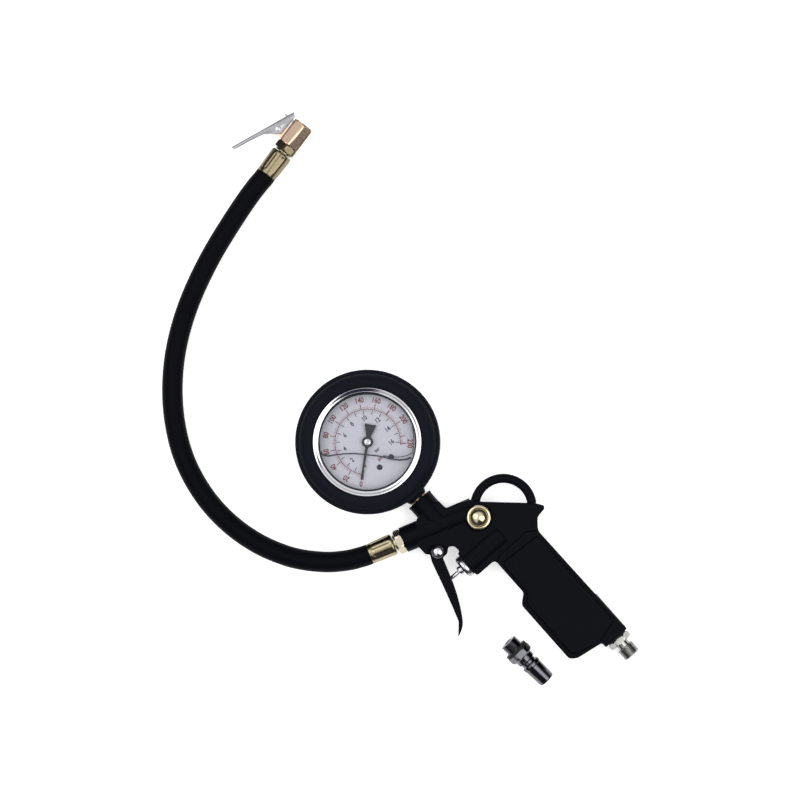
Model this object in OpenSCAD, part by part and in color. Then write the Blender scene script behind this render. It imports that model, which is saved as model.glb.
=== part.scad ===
// Tyre inflator gun: die-cast pistol grip with a trigger valve, a liquid-filled pressure
// gauge in a rubber boot, a short hose with a clip-on chuck, and a spare quick plug.
// It lies on its side: +Z out of the dial, +Y up the grip to the gauge, -X to the front.
// Shapes are drawn from the point where the grip's axis meets floor level under the valve
// axis, and place() centres the gun, without its hose, over the origin.

/* [Gun body] */
// Height of the gun's middle plane above the floor
mid_z = 12.5; // [12.5:0.1:13]
// Half of the grip's thickness
grip_half = 12.5; // [11:0.1:12.5]
// Half of the head plate's thickness
head_half = 8.6; // [8.4:0.1:9]
// Half of the hanging loop's thickness
loop_half = 4; // [3:0.5:6]
// Outer radius of the hanging loop
loop_r = 23.5; // [22:0.1:24]
// Radius of the boss that holds the gauge
gauge_boss_r = 9.4; // [9:0.1:9.6]
// Radius of the barrel behind the hose
barrel_r = 9.4; // [9:0.1:9.6]

/* [Inlet and threads] */
// Major radius of the G1/4 pipe threads
thread_r = 6.58; // [6.5:0.01:6.6]
// Clearance between a thread and its hole
thread_gap = 0.07; // [0.03:0.01:0.15]
// Width across the flats of the fittings
hex_af = 15; // [14:0.5:16]

/* [Trigger and valve] */
// Half of the trigger's width
trigger_half = 8.4; // [8:0.1:9]
// Half of the width of the lug that carries the trigger
lug_half = 5; // [4.5:0.1:5.2]
// Radius of the trigger's pivot pin
pin_r = 2.4; // [2:0.1:2.6]
// Radius of the valve stem
stem_r = 1.5; // [1.3:0.1:1.6]
// Travel of the valve at full trigger
valve_travel = 4.55; // [4:0.05:4.6]

/* [Gauge] */
// Outer radius of the rubber boot
boot_r = 50.6; // [48:0.1:51]
// Height of the boot's front face
boot_h = 38.5; // [38:0.1:40]
// Outer radius of the gauge case
case_r = 40; // [39.5:0.1:40]
// Radius of the opening in the bezel
bezel_open_r = 33.2; // [32.5:0.1:34]
// Radius of the dial plate
dial_r = 36.2; // [35.5:0.1:36.5]

/* [Hose and chuck] */
// Outer radius of the hose
hose_r = 7.3; // [6.5:0.1:7.3]
// Length of each crimped ferrule
ferrule_len = 18.5; // [16:0.5:18.5]
// Length of the chuck body
chuck_len = 18.6; // [18:0.1:20]
// Radius of the chuck's mouth
mouth_r = 4.2; // [4.1:0.05:4.4]

/* [Hidden] */
$fn = 64;

// colours
BLACK = [0.10, 0.10, 0.12];
RUBBER = [0.16, 0.16, 0.18];
CHROME = [0.85, 0.86, 0.88];
NICKEL = [0.74, 0.72, 0.66];
STEEL = [0.66, 0.67, 0.70];
GOLD = [0.86, 0.70, 0.36];
BRASS = [0.72, 0.60, 0.34];
COPPER = [0.80, 0.56, 0.44];
DIAL = [0.92, 0.92, 0.96];

// grip and head
loop_x = 1.2;
loop_y = 10.8;
loop_hole_r = 16.9;
loop_start = [-8, 24];
loop_end = [15.5, 2];
valve_y = -2.4;
valve_boss_r = 10.2;
valve_face_x = -44.5;
valve_bore_r = 5.5;
air_r = 3;

// trigger
pivot = [-54, 17.8];
ear_r = 5.6;
running_gap = 0.05;

// gauge position and the levels of its parts
gauge_x = -39.5;
gauge_y = 108;
stem_top_y = 54.2;
back_wall = 2;
case_top_z = 29;
socket_front_z = 18.75;
plate_t = 1;
dial_z = 25.2;
sector_x = 14.7;
pinion_teeth = 12;
sector_teeth = 72;
tooth_module = 0.35;

// bleed valve on the barrel
bleed_x = -16.4;
bleed_y = 16.9;
bleed_top_z = mid_z + 9.3;

// inlet
inlet_face_y = -110;
inlet_end_y = -127;

// hose boss: centre of its face, and the direction that it points in
hose_face = [-67, 40.2];
hose_dir = 161;
hex_len = 5.2;
neck_len = 0.9;
fitting_len = 7;

// chuck: centre of the body's hose end, and the direction of its mouth
chuck_foot = [57, 302.4];
chuck_dir = 11;
chuck_z = 8.8;
lever_pivot = [5, 12.6];
lever_pin_r = 1.25;

// quick plug
plug_start = [-59.4, -62.1];
plug_dir = -86;
plug_washer_r = 8.6;
plug_washer_end = 9.55;
plug_tilt = 5;

// shift that centres the gun, without its hose, over the origin
shift_x = 32;
shift_y = -15;

// hose route from the gun's ferrule to the chuck's, in the row's own frame
function along(p, dir, s) = [p[0] + s * cos(dir), p[1] + s * sin(dir)];
hose_gap = 0.1;
hose_start = along(hose_face, hose_dir, fitting_len + ferrule_len + hose_gap)
    + [shift_x, shift_y];
hose_lead = along(hose_start, hose_dir, 3);
hose_stop = along(chuck_foot, chuck_dir, -fitting_len - ferrule_len - hose_gap)
    + [shift_x, shift_y];
hose_tail = along(hose_stop, chuck_dir, -4);
hose_route = [
    [hose_start[0], hose_start[1], mid_z], [hose_lead[0], hose_lead[1], mid_z],
    [-66, 36.4, 12.35], [-70.5, 38.6, 12.1], [-77.3, 42.9, 11.4],
    [-85.8, 49.5, 10.2], [-95.9, 60.1, 8.7],
    [-104.5, 72.2, 7.6], [-113.1, 90.3, hose_r], [-118.6, 111.4, hose_r],
    [-120.1, 133, hose_r], [-117.6, 154.1, hose_r], [-111.5, 174.2, hose_r],
    [-101.5, 193.3, hose_r], [-89, 210.4, hose_r], [-73.9, 225.9, hose_r],
    [-57.3, 238.9, hose_r], [-39.2, 249.9, hose_r], [-20.2, 258.9, hose_r],
    [-0.2, 266.6, hose_r], [20.3, 272.9, hose_r], [39.9, 278.1, 7.8], [53, 280.8, 8.5],
    [hose_tail[0], hose_tail[1], chuck_z], [hose_stop[0], hose_stop[1], chuck_z]
];
hose_sides = 12;

// ---------- helpers ----------

module place() {
    translate([shift_x, shift_y, 0]) children();
}

// child's +Z along +X on the valve axis, from station x
module on_valve(x) {
    place() translate([x, valve_y, mid_z]) rotate([0, 90, 0]) children();
}

// child's +Z out of the hose boss, s from its face
module on_barrel(s) {
    p = along(hose_face, hose_dir, s);
    place() translate([p[0], p[1], mid_z]) rotate([0, 90, hose_dir]) children();
}

// child's +Z towards the chuck's mouth, a from the body's hose end
module on_chuck(a) {
    p = along(chuck_foot, chuck_dir, a);
    place() translate([p[0], p[1], chuck_z]) rotate([0, 90, chuck_dir]) children();
}

// child drawn in the chuck's side view: X towards the mouth, Y out to the lever
module beside_chuck() {
    place() translate([chuck_foot[0], chuck_foot[1], chuck_z]) rotate([0, 0, chuck_dir]) children();
}

// child's +Z along -Y on the inlet axis, from station y
module on_inlet(y) {
    place() translate([0, y, mid_z]) rotate([90, 0, 0]) children();
}

// child's +Z along +Y on the gauge stem's axis, from station y
module on_stem(y) {
    place() translate([gauge_x, y, mid_z]) rotate([-90, 0, 0]) children();
}

module on_dial(z) {
    place() translate([gauge_x, gauge_y, z]) children();
}

module ring(r_out, r_in, h) {
    difference() {
        cylinder(r = r_out, h = h);
        translate([0, 0, -1]) cylinder(r = r_in, h = h + 2);
    }
}

module hex(af, h) {
    cylinder(r = af / 2 / cos(30), h = h, $fn = 6);
}

// outline with its inner corners rounded by inside and its outer ones by outside
module soften(inside, outside) {
    offset(r = outside) offset(r = -outside - inside) offset(r = inside) children();
}

// plate about the middle plane, with stepped edges: one layer for each [half, inset]
module layered(layers) {
    for (l = layers)
        translate([0, 0, -l[0]]) linear_extrude(2 * l[0]) offset(delta = -l[1]) children();
}

function unit(v) = v / norm(v);
function heading(p, i) = unit(p[min(i + 1, len(p) - 1)] - p[max(i - 1, 0)]);
function side_of(t) = unit(cross(t, abs(t[2]) > 0.9 ? [1, 0, 0] : [0, 0, 1]));

// closed tube of radius r and n sides along the points p
module sweep(p, r, n) {
    rings = [for (i = [0 : len(p) - 1]) let (t = heading(p, i), a = side_of(t), b = cross(t, a))
        for (k = [0 : n - 1]) p[i] + r * cos(360 * k / n) * a + r * sin(360 * k / n) * b];
    last = len(p) - 1;
    sides = [for (i = [0 : last - 1], k = [0 : n - 1]) let (m = (k + 1) % n)
        [i * n + k, i * n + m, (i + 1) * n + m, (i + 1) * n + k]];
    polyhedron(points = rings, faces = concat(sides,
        [[for (k = [n - 1 : -1 : 0]) k]], [[for (k = [0 : n - 1]) last * n + k]]), convexity = 6);
}

// coil spring along +Z, with a nearly closed turn at each end that rises by the share end_rise
function coil_rise(t, turns, end_rise) = t < 1 ? end_rise * t
    : t > turns - 1 ? 1 - end_rise * (turns - t)
    : end_rise + (1 - 2 * end_rise) * (t - 1) / (turns - 2);
module coil(r, wire, turns, length, end_rise = 0.12) {
    n = 14;
    sweep([for (i = [0 : turns * n])
        [r * cos(360 * i / n), r * sin(360 * i / n),
         wire + (length - 2 * wire) * coil_rise(i / n, turns, end_rise)]], wire, 7);
}

// ---------- gun body ----------

// grip, head plate and spur, clockwise from the top of the valve boss
module body_outline() {
    soften(3, 1.2) polygon([
        [-44.5, 7.4], [-42.4, 8.2], [-42.6, 13], [-46, 15.9], [-50, 12.6], [-55, 12.4],
        [-60.2, 20.8], [-61.7, 22.4], [-61.7, 30], [-50, 45], [-30.1, 45], [-29.6, 36.8],
        [-21.5, 34.5], [-13, 30.3], loop_start, loop_end, [20.4, -3], [23.4, -7.4],
        [21.8, -9.1], [14.5, -10.2], [8.4, -17.5], [9.4, -110], [-10.3, -110], [-10.3, -105.8],
        [-30, -102.5], [-34.8, -99], [-34.8, -49], [-27.9, -43.5], [-27.9, -12.9],
        [-43, -12.9], [-44.5, -11.6]
    ]);
}

module grip_outline() {
    intersection() {
        body_outline();
        translate([-40, -115]) square([60, 101]);
    }
}

module loop_outline() {
    difference() {
        translate([loop_x, loop_y]) circle(r = loop_r, $fn = 96);
        translate([loop_x, loop_y]) circle(r = loop_hole_r, $fn = 96);
        polygon([[-60, 60], [-14, 30.2], loop_start, loop_end, [20.4, -3], [60, -60], [-60, -60]]);
    }
}

// room for the trigger's two ears and arms on both sides of the lug
module trigger_room() {
    for (side = [-1, 1])
        translate([0, 0, side * (lug_half + 20)])
            linear_extrude(40, center = true) {
                translate(pivot) circle(r = ear_r + 0.7);
                polygon([[-56, 24], [-60.5, 22], [-66, 22], [-72, 2], [-48, 2], [-48.2, 17]]);
            }
}

module gun_body() {
    color(BLACK) difference() {
        union() {
            place() translate([0, 0, mid_z]) {
                difference() {
                    layered([[head_half, 1], [head_half - 1.2, 0]]) body_outline();
                    trigger_room();
                }
                layered([[grip_half, 4.5], [grip_half - 1.2, 2.2], [grip_half - 3, 0.8],
                    [grip_half - 5, 0]]) grip_outline();
                layered([[loop_half, 0.8], [loop_half - 1, 0]]) loop_outline();
            }
            on_valve(valve_face_x) cylinder(r = valve_boss_r, h = 30);
            on_barrel(-56) cylinder(r1 = barrel_r, r2 = barrel_r - 0.7, h = 56);
            on_stem(28) cylinder(r = gauge_boss_r, h = stem_top_y - 28);
            place() translate([bleed_x, bleed_y, mid_z]) cylinder(r = 9.2, h = 9.3);
        }
        // inlet thread and the air way up the grip
        on_inlet(-98) cylinder(r = thread_r + thread_gap, h = 20);
        on_inlet(valve_y) cylinder(r = 3.5, h = 100);
        // valve: gland thread, chamber, and the way up to the barrel
        on_valve(valve_face_x - 1) cylinder(r = 6.7, h = 12.5);
        on_valve(valve_face_x) cylinder(r = valve_bore_r, h = 50.5);
        place() translate([-26, valve_y, mid_z]) rotate([-90, 0, 0]) cylinder(r = 2.5, h = 28.5);
        // barrel: hose thread and air way
        on_barrel(-12) cylinder(r = thread_r + thread_gap, h = 20);
        on_barrel(-54) cylinder(r = air_r, h = 54);
        // gauge thread and air way
        on_stem(stem_top_y - 12) cylinder(r = thread_r + thread_gap, h = 20);
        on_stem(30) cylinder(r = 2.5, h = 20);
        // bleed valve: ring thread and poppet chamber
        place() translate([bleed_x, bleed_y, 14]) cylinder(r = 7.9, h = 12);
        place() translate([bleed_x, bleed_y, 5]) cylinder(r = 4.5, h = 12);
        // trigger pin
        place() translate([pivot[0], pivot[1], 0]) cylinder(r = pin_r + 0.02, h = 40);
    }
}

// ---------- trigger ----------

// points of a smooth curve through p (Catmull-Rom), n points to each span
function curve(p, n) = [for (i = [0 : len(p) - 2], k = [0 : n - 1])
    let (t = k / n, a = p[max(i - 1, 0)], b = p[i], c = p[i + 1], d = p[min(i + 2, len(p) - 1)])
    0.5 * (2 * b + (c - a) * t + (2 * a - 5 * b + 4 * c - d) * t * t
        + (3 * b - a - 3 * c + d) * t * t * t), p[len(p) - 1]];

trigger_front = [[-59.4, 20], [-62.2, 14], [-66.6, -1], [-71.3, -16], [-75.6, -28.4], [-82.6, -35.8]];
trigger_rear = [[-82.3, -36.3], [-75.2, -32.2], [-68.9, -23], [-62.5, -9.9], [-57.6, 3.3], [-54.6, 12]];

module trigger_outline() {
    polygon(concat(curve(trigger_front, 5), curve(trigger_rear, 5), [pivot]));
    translate(pivot) circle(r = ear_r);
}

module trigger() {
    web = [[-62.2, 13], [-66.6, -1], [-71.3, -16], [-75.6, -28.4], [-82.6, -35.8],
        [-77, -33.4], [-70.6, -26], [-67.9, -15.7], [-63.9, -1.5], [-59.6, 13]];
    color(BLACK) place() translate([0, 0, mid_z]) {
        for (side = [-1, 1])
            difference() {
                translate([0, 0, side * (trigger_half + lug_half + 0.3) / 2])
                    linear_extrude(trigger_half - lug_half - 0.3, center = true) trigger_outline();
                translate([pivot[0], pivot[1], -20]) cylinder(r = pin_r + running_gap, h = 40);
            }
        linear_extrude(2 * lug_half + 1, center = true)
            intersection() {
                union() {
                    polygon(web);
                    translate([-90, -40]) square([60, 16]);
                }
                trigger_outline();
            }
    }
}

module trigger_pin() {
    color(CHROME) place() translate([pivot[0], pivot[1], mid_z]) {
        translate([0, 0, -trigger_half - 0.8]) cylinder(r = pin_r, h = 2 * trigger_half + 1.6);
        translate([0, 0, -trigger_half - 2.1]) cylinder(r = 4, h = 1.8);
        translate([0, 0, trigger_half + 0.3]) intersection() {
            cylinder(r = 4.35, h = 3);
            translate([0, 0, -3.4]) sphere(r = 6);
        }
    }
}

// ---------- trigger valve ----------

module valve_gland() {
    color(STEEL) difference() {
        union() {
            on_valve(-52.4) cylinder(r = 3.3, h = 4);
            on_valve(-49.2) cylinder(r1 = 7.7, r2 = 8.5, h = 0.8);
            on_valve(-48.4) cylinder(r = 8.5, h = 2.9);
            on_valve(-46) cylinder(r = 6.6, h = 12.5);
        }
        on_valve(-60) cylinder(r = stem_r + running_gap, h = 30);
        on_valve(-38) cylinder(r = 3.6, h = 6);
    }
}

module gland_washer() {
    color(RUBBER) on_valve(-45.45) ring(8.2, 6.75, 0.9);
}

module stem_seal() {
    color(RUBBER) on_valve(-37.9)
        rotate_extrude() translate([stem_r + running_gap + 1, 1]) circle(r = 1, $fn = 24);
}

module valve_seat() {
    color(BRASS) on_valve(-17) difference() {
        ring(valve_bore_r - 0.03, 3, 3);
        translate([0, 0, 2.4]) ring(7, 4, 2);
    }
}

module valve_stem() {
    color(STEEL) {
        on_valve(-62) cylinder(r = stem_r, h = 51);
        on_valve(-63.2) cylinder(r1 = 0.8, r2 = stem_r, h = 1.2);
    }
}

module valve_poppet() {
    color(BRASS) difference() {
        union() {
            on_valve(-12.4) cylinder(r = 4.5, h = 3);
            on_valve(-9.4) cylinder(r = 1.9, h = 4);
        }
        on_valve(-13) cylinder(r = stem_r + 0.02, h = 2.1);
    }
}

module poppet_seal() {
    color(RUBBER) on_valve(-13.95) ring(4.3, stem_r + 0.02, 1.5);
}

module valve_spring() {
    color(STEEL) on_valve(-9.35) coil(3.3, 0.45, 7, 15.3);
}

// ---------- bleed valve ----------

module on_bleed(z) {
    place() translate([bleed_x, bleed_y, z]) children();
}

module bleed_ring() {
    color(GOLD) on_bleed(0) rotate_extrude() polygon([
        [7.1, 15.5], [7.8, 15.5], [7.8, bleed_top_z + 0.05], [8.75, bleed_top_z + 0.05],
        [8.75, 23.6], [8.2, 24.2], [6.55, 24.2], [6.55, 22.6], [7.1, 22.6]
    ]);
}

module bleed_button() {
    color(GOLD) {
        on_bleed(21.5) cylinder(r = 6.9, h = 1);
        on_bleed(22.5) intersection() {
            cylinder(r = 6.4, h = 6);
            translate([0, 0, -4.2]) sphere(r = 8.6);
        }
        on_bleed(10.9) cylinder(r = 1.3, h = 11);
    }
}

module bleed_seat() {
    color(BRASS) on_bleed(11.2) ring(4.45, 1.9, 2.4);
}

module bleed_poppet() {
    color(BRASS) difference() {
        on_bleed(9) cylinder(r = 3.4, h = 1.2);
        on_bleed(9.6) cylinder(r = 1.32, h = 3);
    }
    color(BRASS) on_bleed(9.6) cylinder(r = 1.25, h = 1.25);
}

module bleed_seal() {
    color(RUBBER) on_bleed(10.25) ring(3.3, 1.32, 0.9);
}

module bleed_spring() {
    color(STEEL) on_bleed(5.05) coil(2.6, 0.2, 4, 3.9);
}

// ---------- inlet ----------

module inlet_nipple() {
    color(NICKEL) difference() {
        union() {
            on_inlet(-98.6) cylinder(r = thread_r, h = 12.5);
            on_inlet(-111) hex(hex_af, 4.4);
            on_inlet(-115.3) cylinder(r = 4.6, h = 3.6);
            on_inlet(-118.5) cylinder(r1 = 5.7, r2 = thread_r, h = 0.9);
            on_inlet(-119.4) cylinder(r = thread_r, h = 6.7);
            on_inlet(-126.1) cylinder(r1 = thread_r, r2 = 5.8, h = 0.9);
        }
        on_inlet(-90) cylinder(r = air_r, h = 50);
    }
}

module inlet_washer() {
    color(RUBBER) on_inlet(inlet_face_y - 0.05) ring(7.4, thread_r + thread_gap, 0.9);
}

// ---------- gauge ----------

module gauge_boot() {
    color(RUBBER) difference() {
        union() {
            on_dial(0) rotate_extrude($fn = 128) polygon([
                [0, 0], [48.6, 0], [boot_r, 2], [boot_r, 31.5], [49.2, 34.6], [46.2, 38.2],
                [45.2, boot_h], [39, boot_h], [37.7, 37.6], [37.7, 36.2], [42.7, 36.2],
                [42.7, 29.3], [case_r + 0.2, 29.3], [case_r + 0.2, back_wall], [0, back_wall]
            ]);
            on_stem(gauge_y - 52.7) cylinder(r1 = 6.9, r2 = 9.4, h = 5.5);
        }
        on_stem(gauge_y - 56) cylinder(r = 6.45, h = 18);
    }
}

module gauge_case() {
    floor_z = back_wall + 0.05;
    color(CHROME) difference() {
        on_dial(0) rotate_extrude($fn = 96) polygon([
            [0, floor_z], [case_r, floor_z], [case_r, case_top_z], [37, case_top_z],
            [37, case_top_z - 0.95], [39.2, case_top_z - 0.95], [39.2, floor_z + 0.8],
            [0, floor_z + 0.8]
        ]);
        on_stem(gauge_y - 46) cylinder(r = 6.45, h = 12);
        on_stem(gauge_y + 35) cylinder(r = 4.05, h = 10);
    }
}

// rubber stopper in the case's filling hole, at twelve o'clock
module fill_plug() {
    color(RUBBER) {
        on_stem(gauge_y + 36.5) cylinder(r = 4.8, h = 2.3);
        on_stem(gauge_y + 38) cylinder(r = 4, h = 1.9);
    }
}

module bezel_ring() {
    color(CHROME) on_dial(0) rotate_extrude($fn = 128) polygon([
        [case_r + 0.1, 29.4], [42.5, 29.4], [42.5, 35.2], [41.6, 36.1], [38, 36.1],
        [bezel_open_r + 0.6, 34.4], [bezel_open_r, 34.2], [bezel_open_r, 33.4],
        [case_r + 0.1, 33.4]
    ]);
}

module window() {
    color([0.9, 0.95, 1, 0.35]) on_dial(31.3) cylinder(r = case_r, h = 2.05, $fn = 96);
}

module window_seal() {
    color(RUBBER) on_dial(case_top_z + 0.05) ring(case_r, 37.2, 2.2);
}

module dial_plate() {
    color(DIAL) difference() {
        on_dial(dial_z) cylinder(r = dial_r, h = 0.8, $fn = 96);
        on_dial(dial_z - 1) cylinder(r = 1.8, h = 3);
        for (side = [-1, 1]) on_dial(dial_z - 1) dial_leg_at(side) cylinder(r = 1.1, h = 3);
    }
}

// the two dial legs stand either side of the stem's axis
module dial_leg_at(side) {
    translate([side * 5.4, -18.8, 0]) children();
}

module dial_screws() {
    color(BLACK) for (side = [-1, 1]) dial_screw(side);
}

module dial_screw(side) {
    on_dial(dial_z + 0.82) dial_leg_at(side) difference() {
        cylinder(r = 1.9, h = 1);
        translate([-3, -0.25, 0.5]) cube([6, 0.5, 1]);
    }
    on_dial(dial_z - 3) dial_leg_at(side) cylinder(r = 1, h = 3.9);
}

module dial_legs() {
    color(BRASS) for (side = [-1, 1])
        on_dial(socket_front_z + 0.03) dial_leg_at(side) difference() {
            cylinder(r = 1.7, h = dial_z - socket_front_z - 0.06);
            translate([0, 0, 2.5]) cylinder(r = 1.03, h = 10);
        }
}

module gauge_socket() {
    color(BRASS) difference() {
        union() {
            on_stem(42.6) cylinder(r = thread_r, h = 11.5);
            on_stem(stem_top_y) hex(11.5, 1);
            on_stem(54.1) cylinder(r = 5.4, h = 1.6);
            on_stem(55.15) cylinder(r = 6.35, h = 16.45);
            on_dial(6.25) translate([-11, -37, 0]) cube([22, 21, socket_front_z - 6.25]);
        }
        on_stem(40) cylinder(r = 1.6, h = 44);
    }
}

// flattened tube, brazed into the socket's left side, three quarters round the case
module bourdon_tube() {
    color(BRASS) on_dial(12.5) mirror([1, 0, 0]) rotate([0, 0, -66])
        rotate_extrude(angle = 260) translate([27.5, 0]) difference() {
            offset(r = 1.4) square([0.6, 7], center = true);
            offset(r = 0.8) square([0.6, 7], center = true);
        }
}

tip_angle = -14;
link_top = [sector_x + 5.2 * cos(21.83), -5.2 * sin(21.83)];
link_foot = [22.6, -8.6];

module tube_tip() {
    color(BRASS) {
        on_dial(8) rotate([0, 0, tip_angle + 1]) translate([25.2, -5.6, 0]) cube([4.6, 5, 9]);
        on_dial(17) translate([link_foot[0] - 1.5, link_foot[1] - 1.5, -2]) cube([5.5, 3, 2]);
        on_dial(17) translate(link_foot) cylinder(r = 0.7, h = 5.9, $fn = 24);
    }
}

module tip_link() {
    color(BRASS) on_dial(21.95) difference() {
        hull() {
            translate(link_top) cylinder(r = 1.9, h = 0.6, $fn = 32);
            translate(link_foot) cylinder(r = 1.6, h = 0.6, $fn = 32);
        }
        translate([link_top[0], link_top[1], -1]) cylinder(r = 1.15, h = 3, $fn = 24);
        translate([link_foot[0], link_foot[1], -1]) cylinder(r = 0.73, h = 3, $fn = 24);
    }
}

module movement_outline() {
    hull() {
        translate([-4, 1]) circle(r = 5);
        translate([sector_x - 0.5, 1]) circle(r = 4);
        translate([-7, -20]) circle(r = 3);
        translate([7, -20]) circle(r = 3);
    }
}

module movement_plate(z, leg_hole_r) {
    color(BRASS) difference() {
        on_dial(z) linear_extrude(plate_t) movement_outline();
        on_dial(z - 1) cylinder(r = 0.84, h = 3, $fn = 32);
        on_dial(z - 1) translate([sector_x, 0, 0]) cylinder(r = 0.84, h = 3, $fn = 32);
        for (side = [-1, 1])
            on_dial(z - 1) dial_leg_at(side) cylinder(r = leg_hole_r, h = 3, $fn = 32);
    }
}

module movement_back_plate() {
    movement_plate(socket_front_z + 0.03, 1.75);
}

module movement_front_plate() {
    movement_plate(22.8, 1.75);
}

module movement_pillars() {
    color(BRASS) for (p = [[-6, 2], [-8.6, -20.8], [0, -15], [8.6, -20.8]])
        on_dial(socket_front_z + plate_t + 0.05) translate(p) cylinder(r = 1.2, h = 2.98, $fn = 32);
}

// straight-sided tooth on a pitch radius r, pointing along +X from the gear's centre
module tooth(r, pitch_w) {
    addendum = 0.8 * tooth_module;
    dedendum = 1.3 * tooth_module;
    polygon([[r - dedendum, -pitch_w * 0.62], [r + addendum, -pitch_w * 0.24],
        [r + addendum, pitch_w * 0.24], [r - dedendum, pitch_w * 0.62]]);
}

module sector_gear() {
    pitch_r = sector_teeth * tooth_module / 2;
    root_r = pitch_r - 1.2 * tooth_module;
    color(BRASS) on_dial(0) translate([sector_x, 0, 0]) {
        translate([0, 0, 20.5]) linear_extrude(1.2) {
            difference() {
                union() {
                    polygon([[0, 1.8], [0, -1.8], along([0, 0], 186, root_r),
                        along([0, 0], 170, root_r + 0.2), along([0, 0], 150, root_r + 0.2),
                        along([0, 0], 129, root_r)]);
                    circle(r = 2.2);
                    rotate(-21.83) translate([0, -1.1]) square([5.2, 2.2]);
                    rotate(-21.83) translate([5.2, 0]) circle(r = 1.1, $fn = 24);
                }
                circle(r = 0.5, $fn = 24);
            }
            intersection() {
                difference() {
                    circle(r = root_r, $fn = 96);
                    circle(r = root_r - 2);
                }
                polygon([[0, 0], along([0, 0], 187, 20), along([0, 0], 158, 20),
                    along([0, 0], 129, 20)]);
            }
            for (a = [130 : 360 / sector_teeth : 185]) rotate(a) tooth(pitch_r, 0.42);
        }
        translate([0, 0, socket_front_z + 0.1]) cylinder(r = 0.8, h = 4.9, $fn = 32);
        rotate(-21.83) translate([5.2, 0, 21.6]) cylinder(r = 0.6, h = 1.1, $fn = 24);
    }
}

module pinion() {
    pitch_r = pinion_teeth * tooth_module / 2;
    color(STEEL) on_dial(0) {
        translate([0, 0, 20.3]) linear_extrude(1.6) {
            circle(r = pitch_r - 1.2 * tooth_module, $fn = 48);
            for (i = [0 : pinion_teeth - 1])
                rotate((i + 0.5) * 360 / pinion_teeth) tooth(pitch_r, 0.42);
        }
        translate([0, 0, socket_front_z + 0.1]) cylinder(r = 0.8, h = 9.3, $fn = 32);
    }
}

// flat spiral of five turns about the pinion's arbor, its outer end pinned to a pillar
module hairspring() {
    turns = 5;
    function spiral(i, side) = let (r = 1.3 + 0.75 * i / 20 + side * 0.12)
        [r * cos(18 * i), r * sin(18 * i)];
    color(STEEL) on_dial(22.1) linear_extrude(0.5) polygon(concat(
        [for (i = [0 : turns * 20]) spiral(i, 1)], [for (i = [turns * 20 : -1 : 0]) spiral(i, -1)]));
}

pointer_rest = 219;

module pointer() {
    color(BLACK) difference() {
        union() {
            on_dial(28.2) rotate(pointer_rest) linear_extrude(0.6) {
                polygon([[0, 1], [26.5, 0.6], [27, 0.3], [27, -0.3], [26.5, -0.6], [0, -1]]);
                soften(0, 0.5) polygon([[0, 0.9], [-3.5, 1.5], [-12.8, 4.3], [-12.2, 0],
                    [-12.8, -4.3], [-3.5, -1.5], [0, -0.9]]);
            }
            on_dial(27.8) cylinder(r = 3.9, h = 1.7, $fn = 48);
        }
        on_dial(27) cylinder(r = 0.82, h = 4, $fn = 32);
    }
}

module pointer_cap() {
    color(CHROME) on_dial(29.52) cylinder(r1 = 2.5, r2 = 2.1, h = 0.8, $fn = 48);
}

// ---------- hose ----------

// child's +Z towards the hose: thread into a body, hexagon, neck and barb
module hose_fitting(screw_r, screw_len) {
    difference() {
        union() {
            translate([0, 0, -screw_len]) cylinder(r = screw_r, h = screw_len + 0.2);
            hex(hex_af, hex_len);
            translate([0, 0, hex_len - 0.1]) cylinder(r = 6.3, h = neck_len + 0.3);
            translate([0, 0, hex_len]) cylinder(r = 3.2, h = fitting_len - hex_len + ferrule_len - 1);
        }
        translate([0, 0, -20]) cylinder(r = 2, h = 60);
    }
}

module hose_ferrule() {
    difference() {
        union() {
            cylinder(r1 = 7.4, r2 = 7.9, h = 1);
            translate([0, 0, 1]) cylinder(r1 = 7.9, r2 = 7.35, h = ferrule_len - 1);
        }
        translate([0, 0, -1]) cylinder(r = 3.25, h = ferrule_len + 2);
    }
}

module hose_nipple_gun() {
    color(GOLD) on_barrel(0.05) rotate(30) hose_fitting(thread_r, 11.5);
}

module hose_ferrule_gun() {
    color(GOLD) on_barrel(fitting_len - 0.05) hose_ferrule();
}

module hose() {
    color(RUBBER) sweep(hose_route, hose_r, hose_sides);
}

module hose_ferrule_chuck() {
    color(GOLD) on_chuck(-fitting_len + 0.05) rotate([180, 0, 0]) hose_ferrule();
}

module hose_nipple_chuck() {
    color(GOLD) on_chuck(-0.05) rotate([180, 0, 0]) hose_fitting(4.6, 5);
}

// ---------- chuck ----------

module chuck_body() {
    color(COPPER) difference() {
        union() {
            intersection() {
                on_chuck(0) hex(15, chuck_len);
                on_chuck(0) rotate_extrude() polygon([[0, 0], [8.2, 0], [8.7, 0.5],
                    [8.7, 17.4], [7.5, chuck_len], [0, chuck_len]]);
            }
            // lug for the lever's pin
            beside_chuck() linear_extrude(3.2, center = true) {
                translate(lever_pivot) circle(r = 2.4, $fn = 32);
                polygon([[0.6, 7.2], [9.5, 7.2], [7.3, 12.5], [2.7, 12.9]]);
            }
        }
        // mouth, seal seat, air way and hose thread
        on_chuck(12.3) cylinder(r = mouth_r, h = 20);
        on_chuck(10.6) cylinder(r = mouth_r - 0.2, h = 2);
        on_chuck(7.6) cylinder(r = 5.4, h = 3.1);
        on_chuck(4.9) cylinder(r = 2.2, h = 4);
        on_chuck(-1) cylinder(r = 4.65, h = 6.1);
        // slot for the lever's claw
        beside_chuck() translate([14, 0, -2.5]) cube([6, 20, 5]);
        beside_chuck() translate([lever_pivot[0], lever_pivot[1], -9])
            cylinder(r = lever_pin_r, h = 20);
    }
}

module chuck_seal() {
    color(RUBBER) on_chuck(7.65) ring(5.35, 1.7, 2.9);
}

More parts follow.
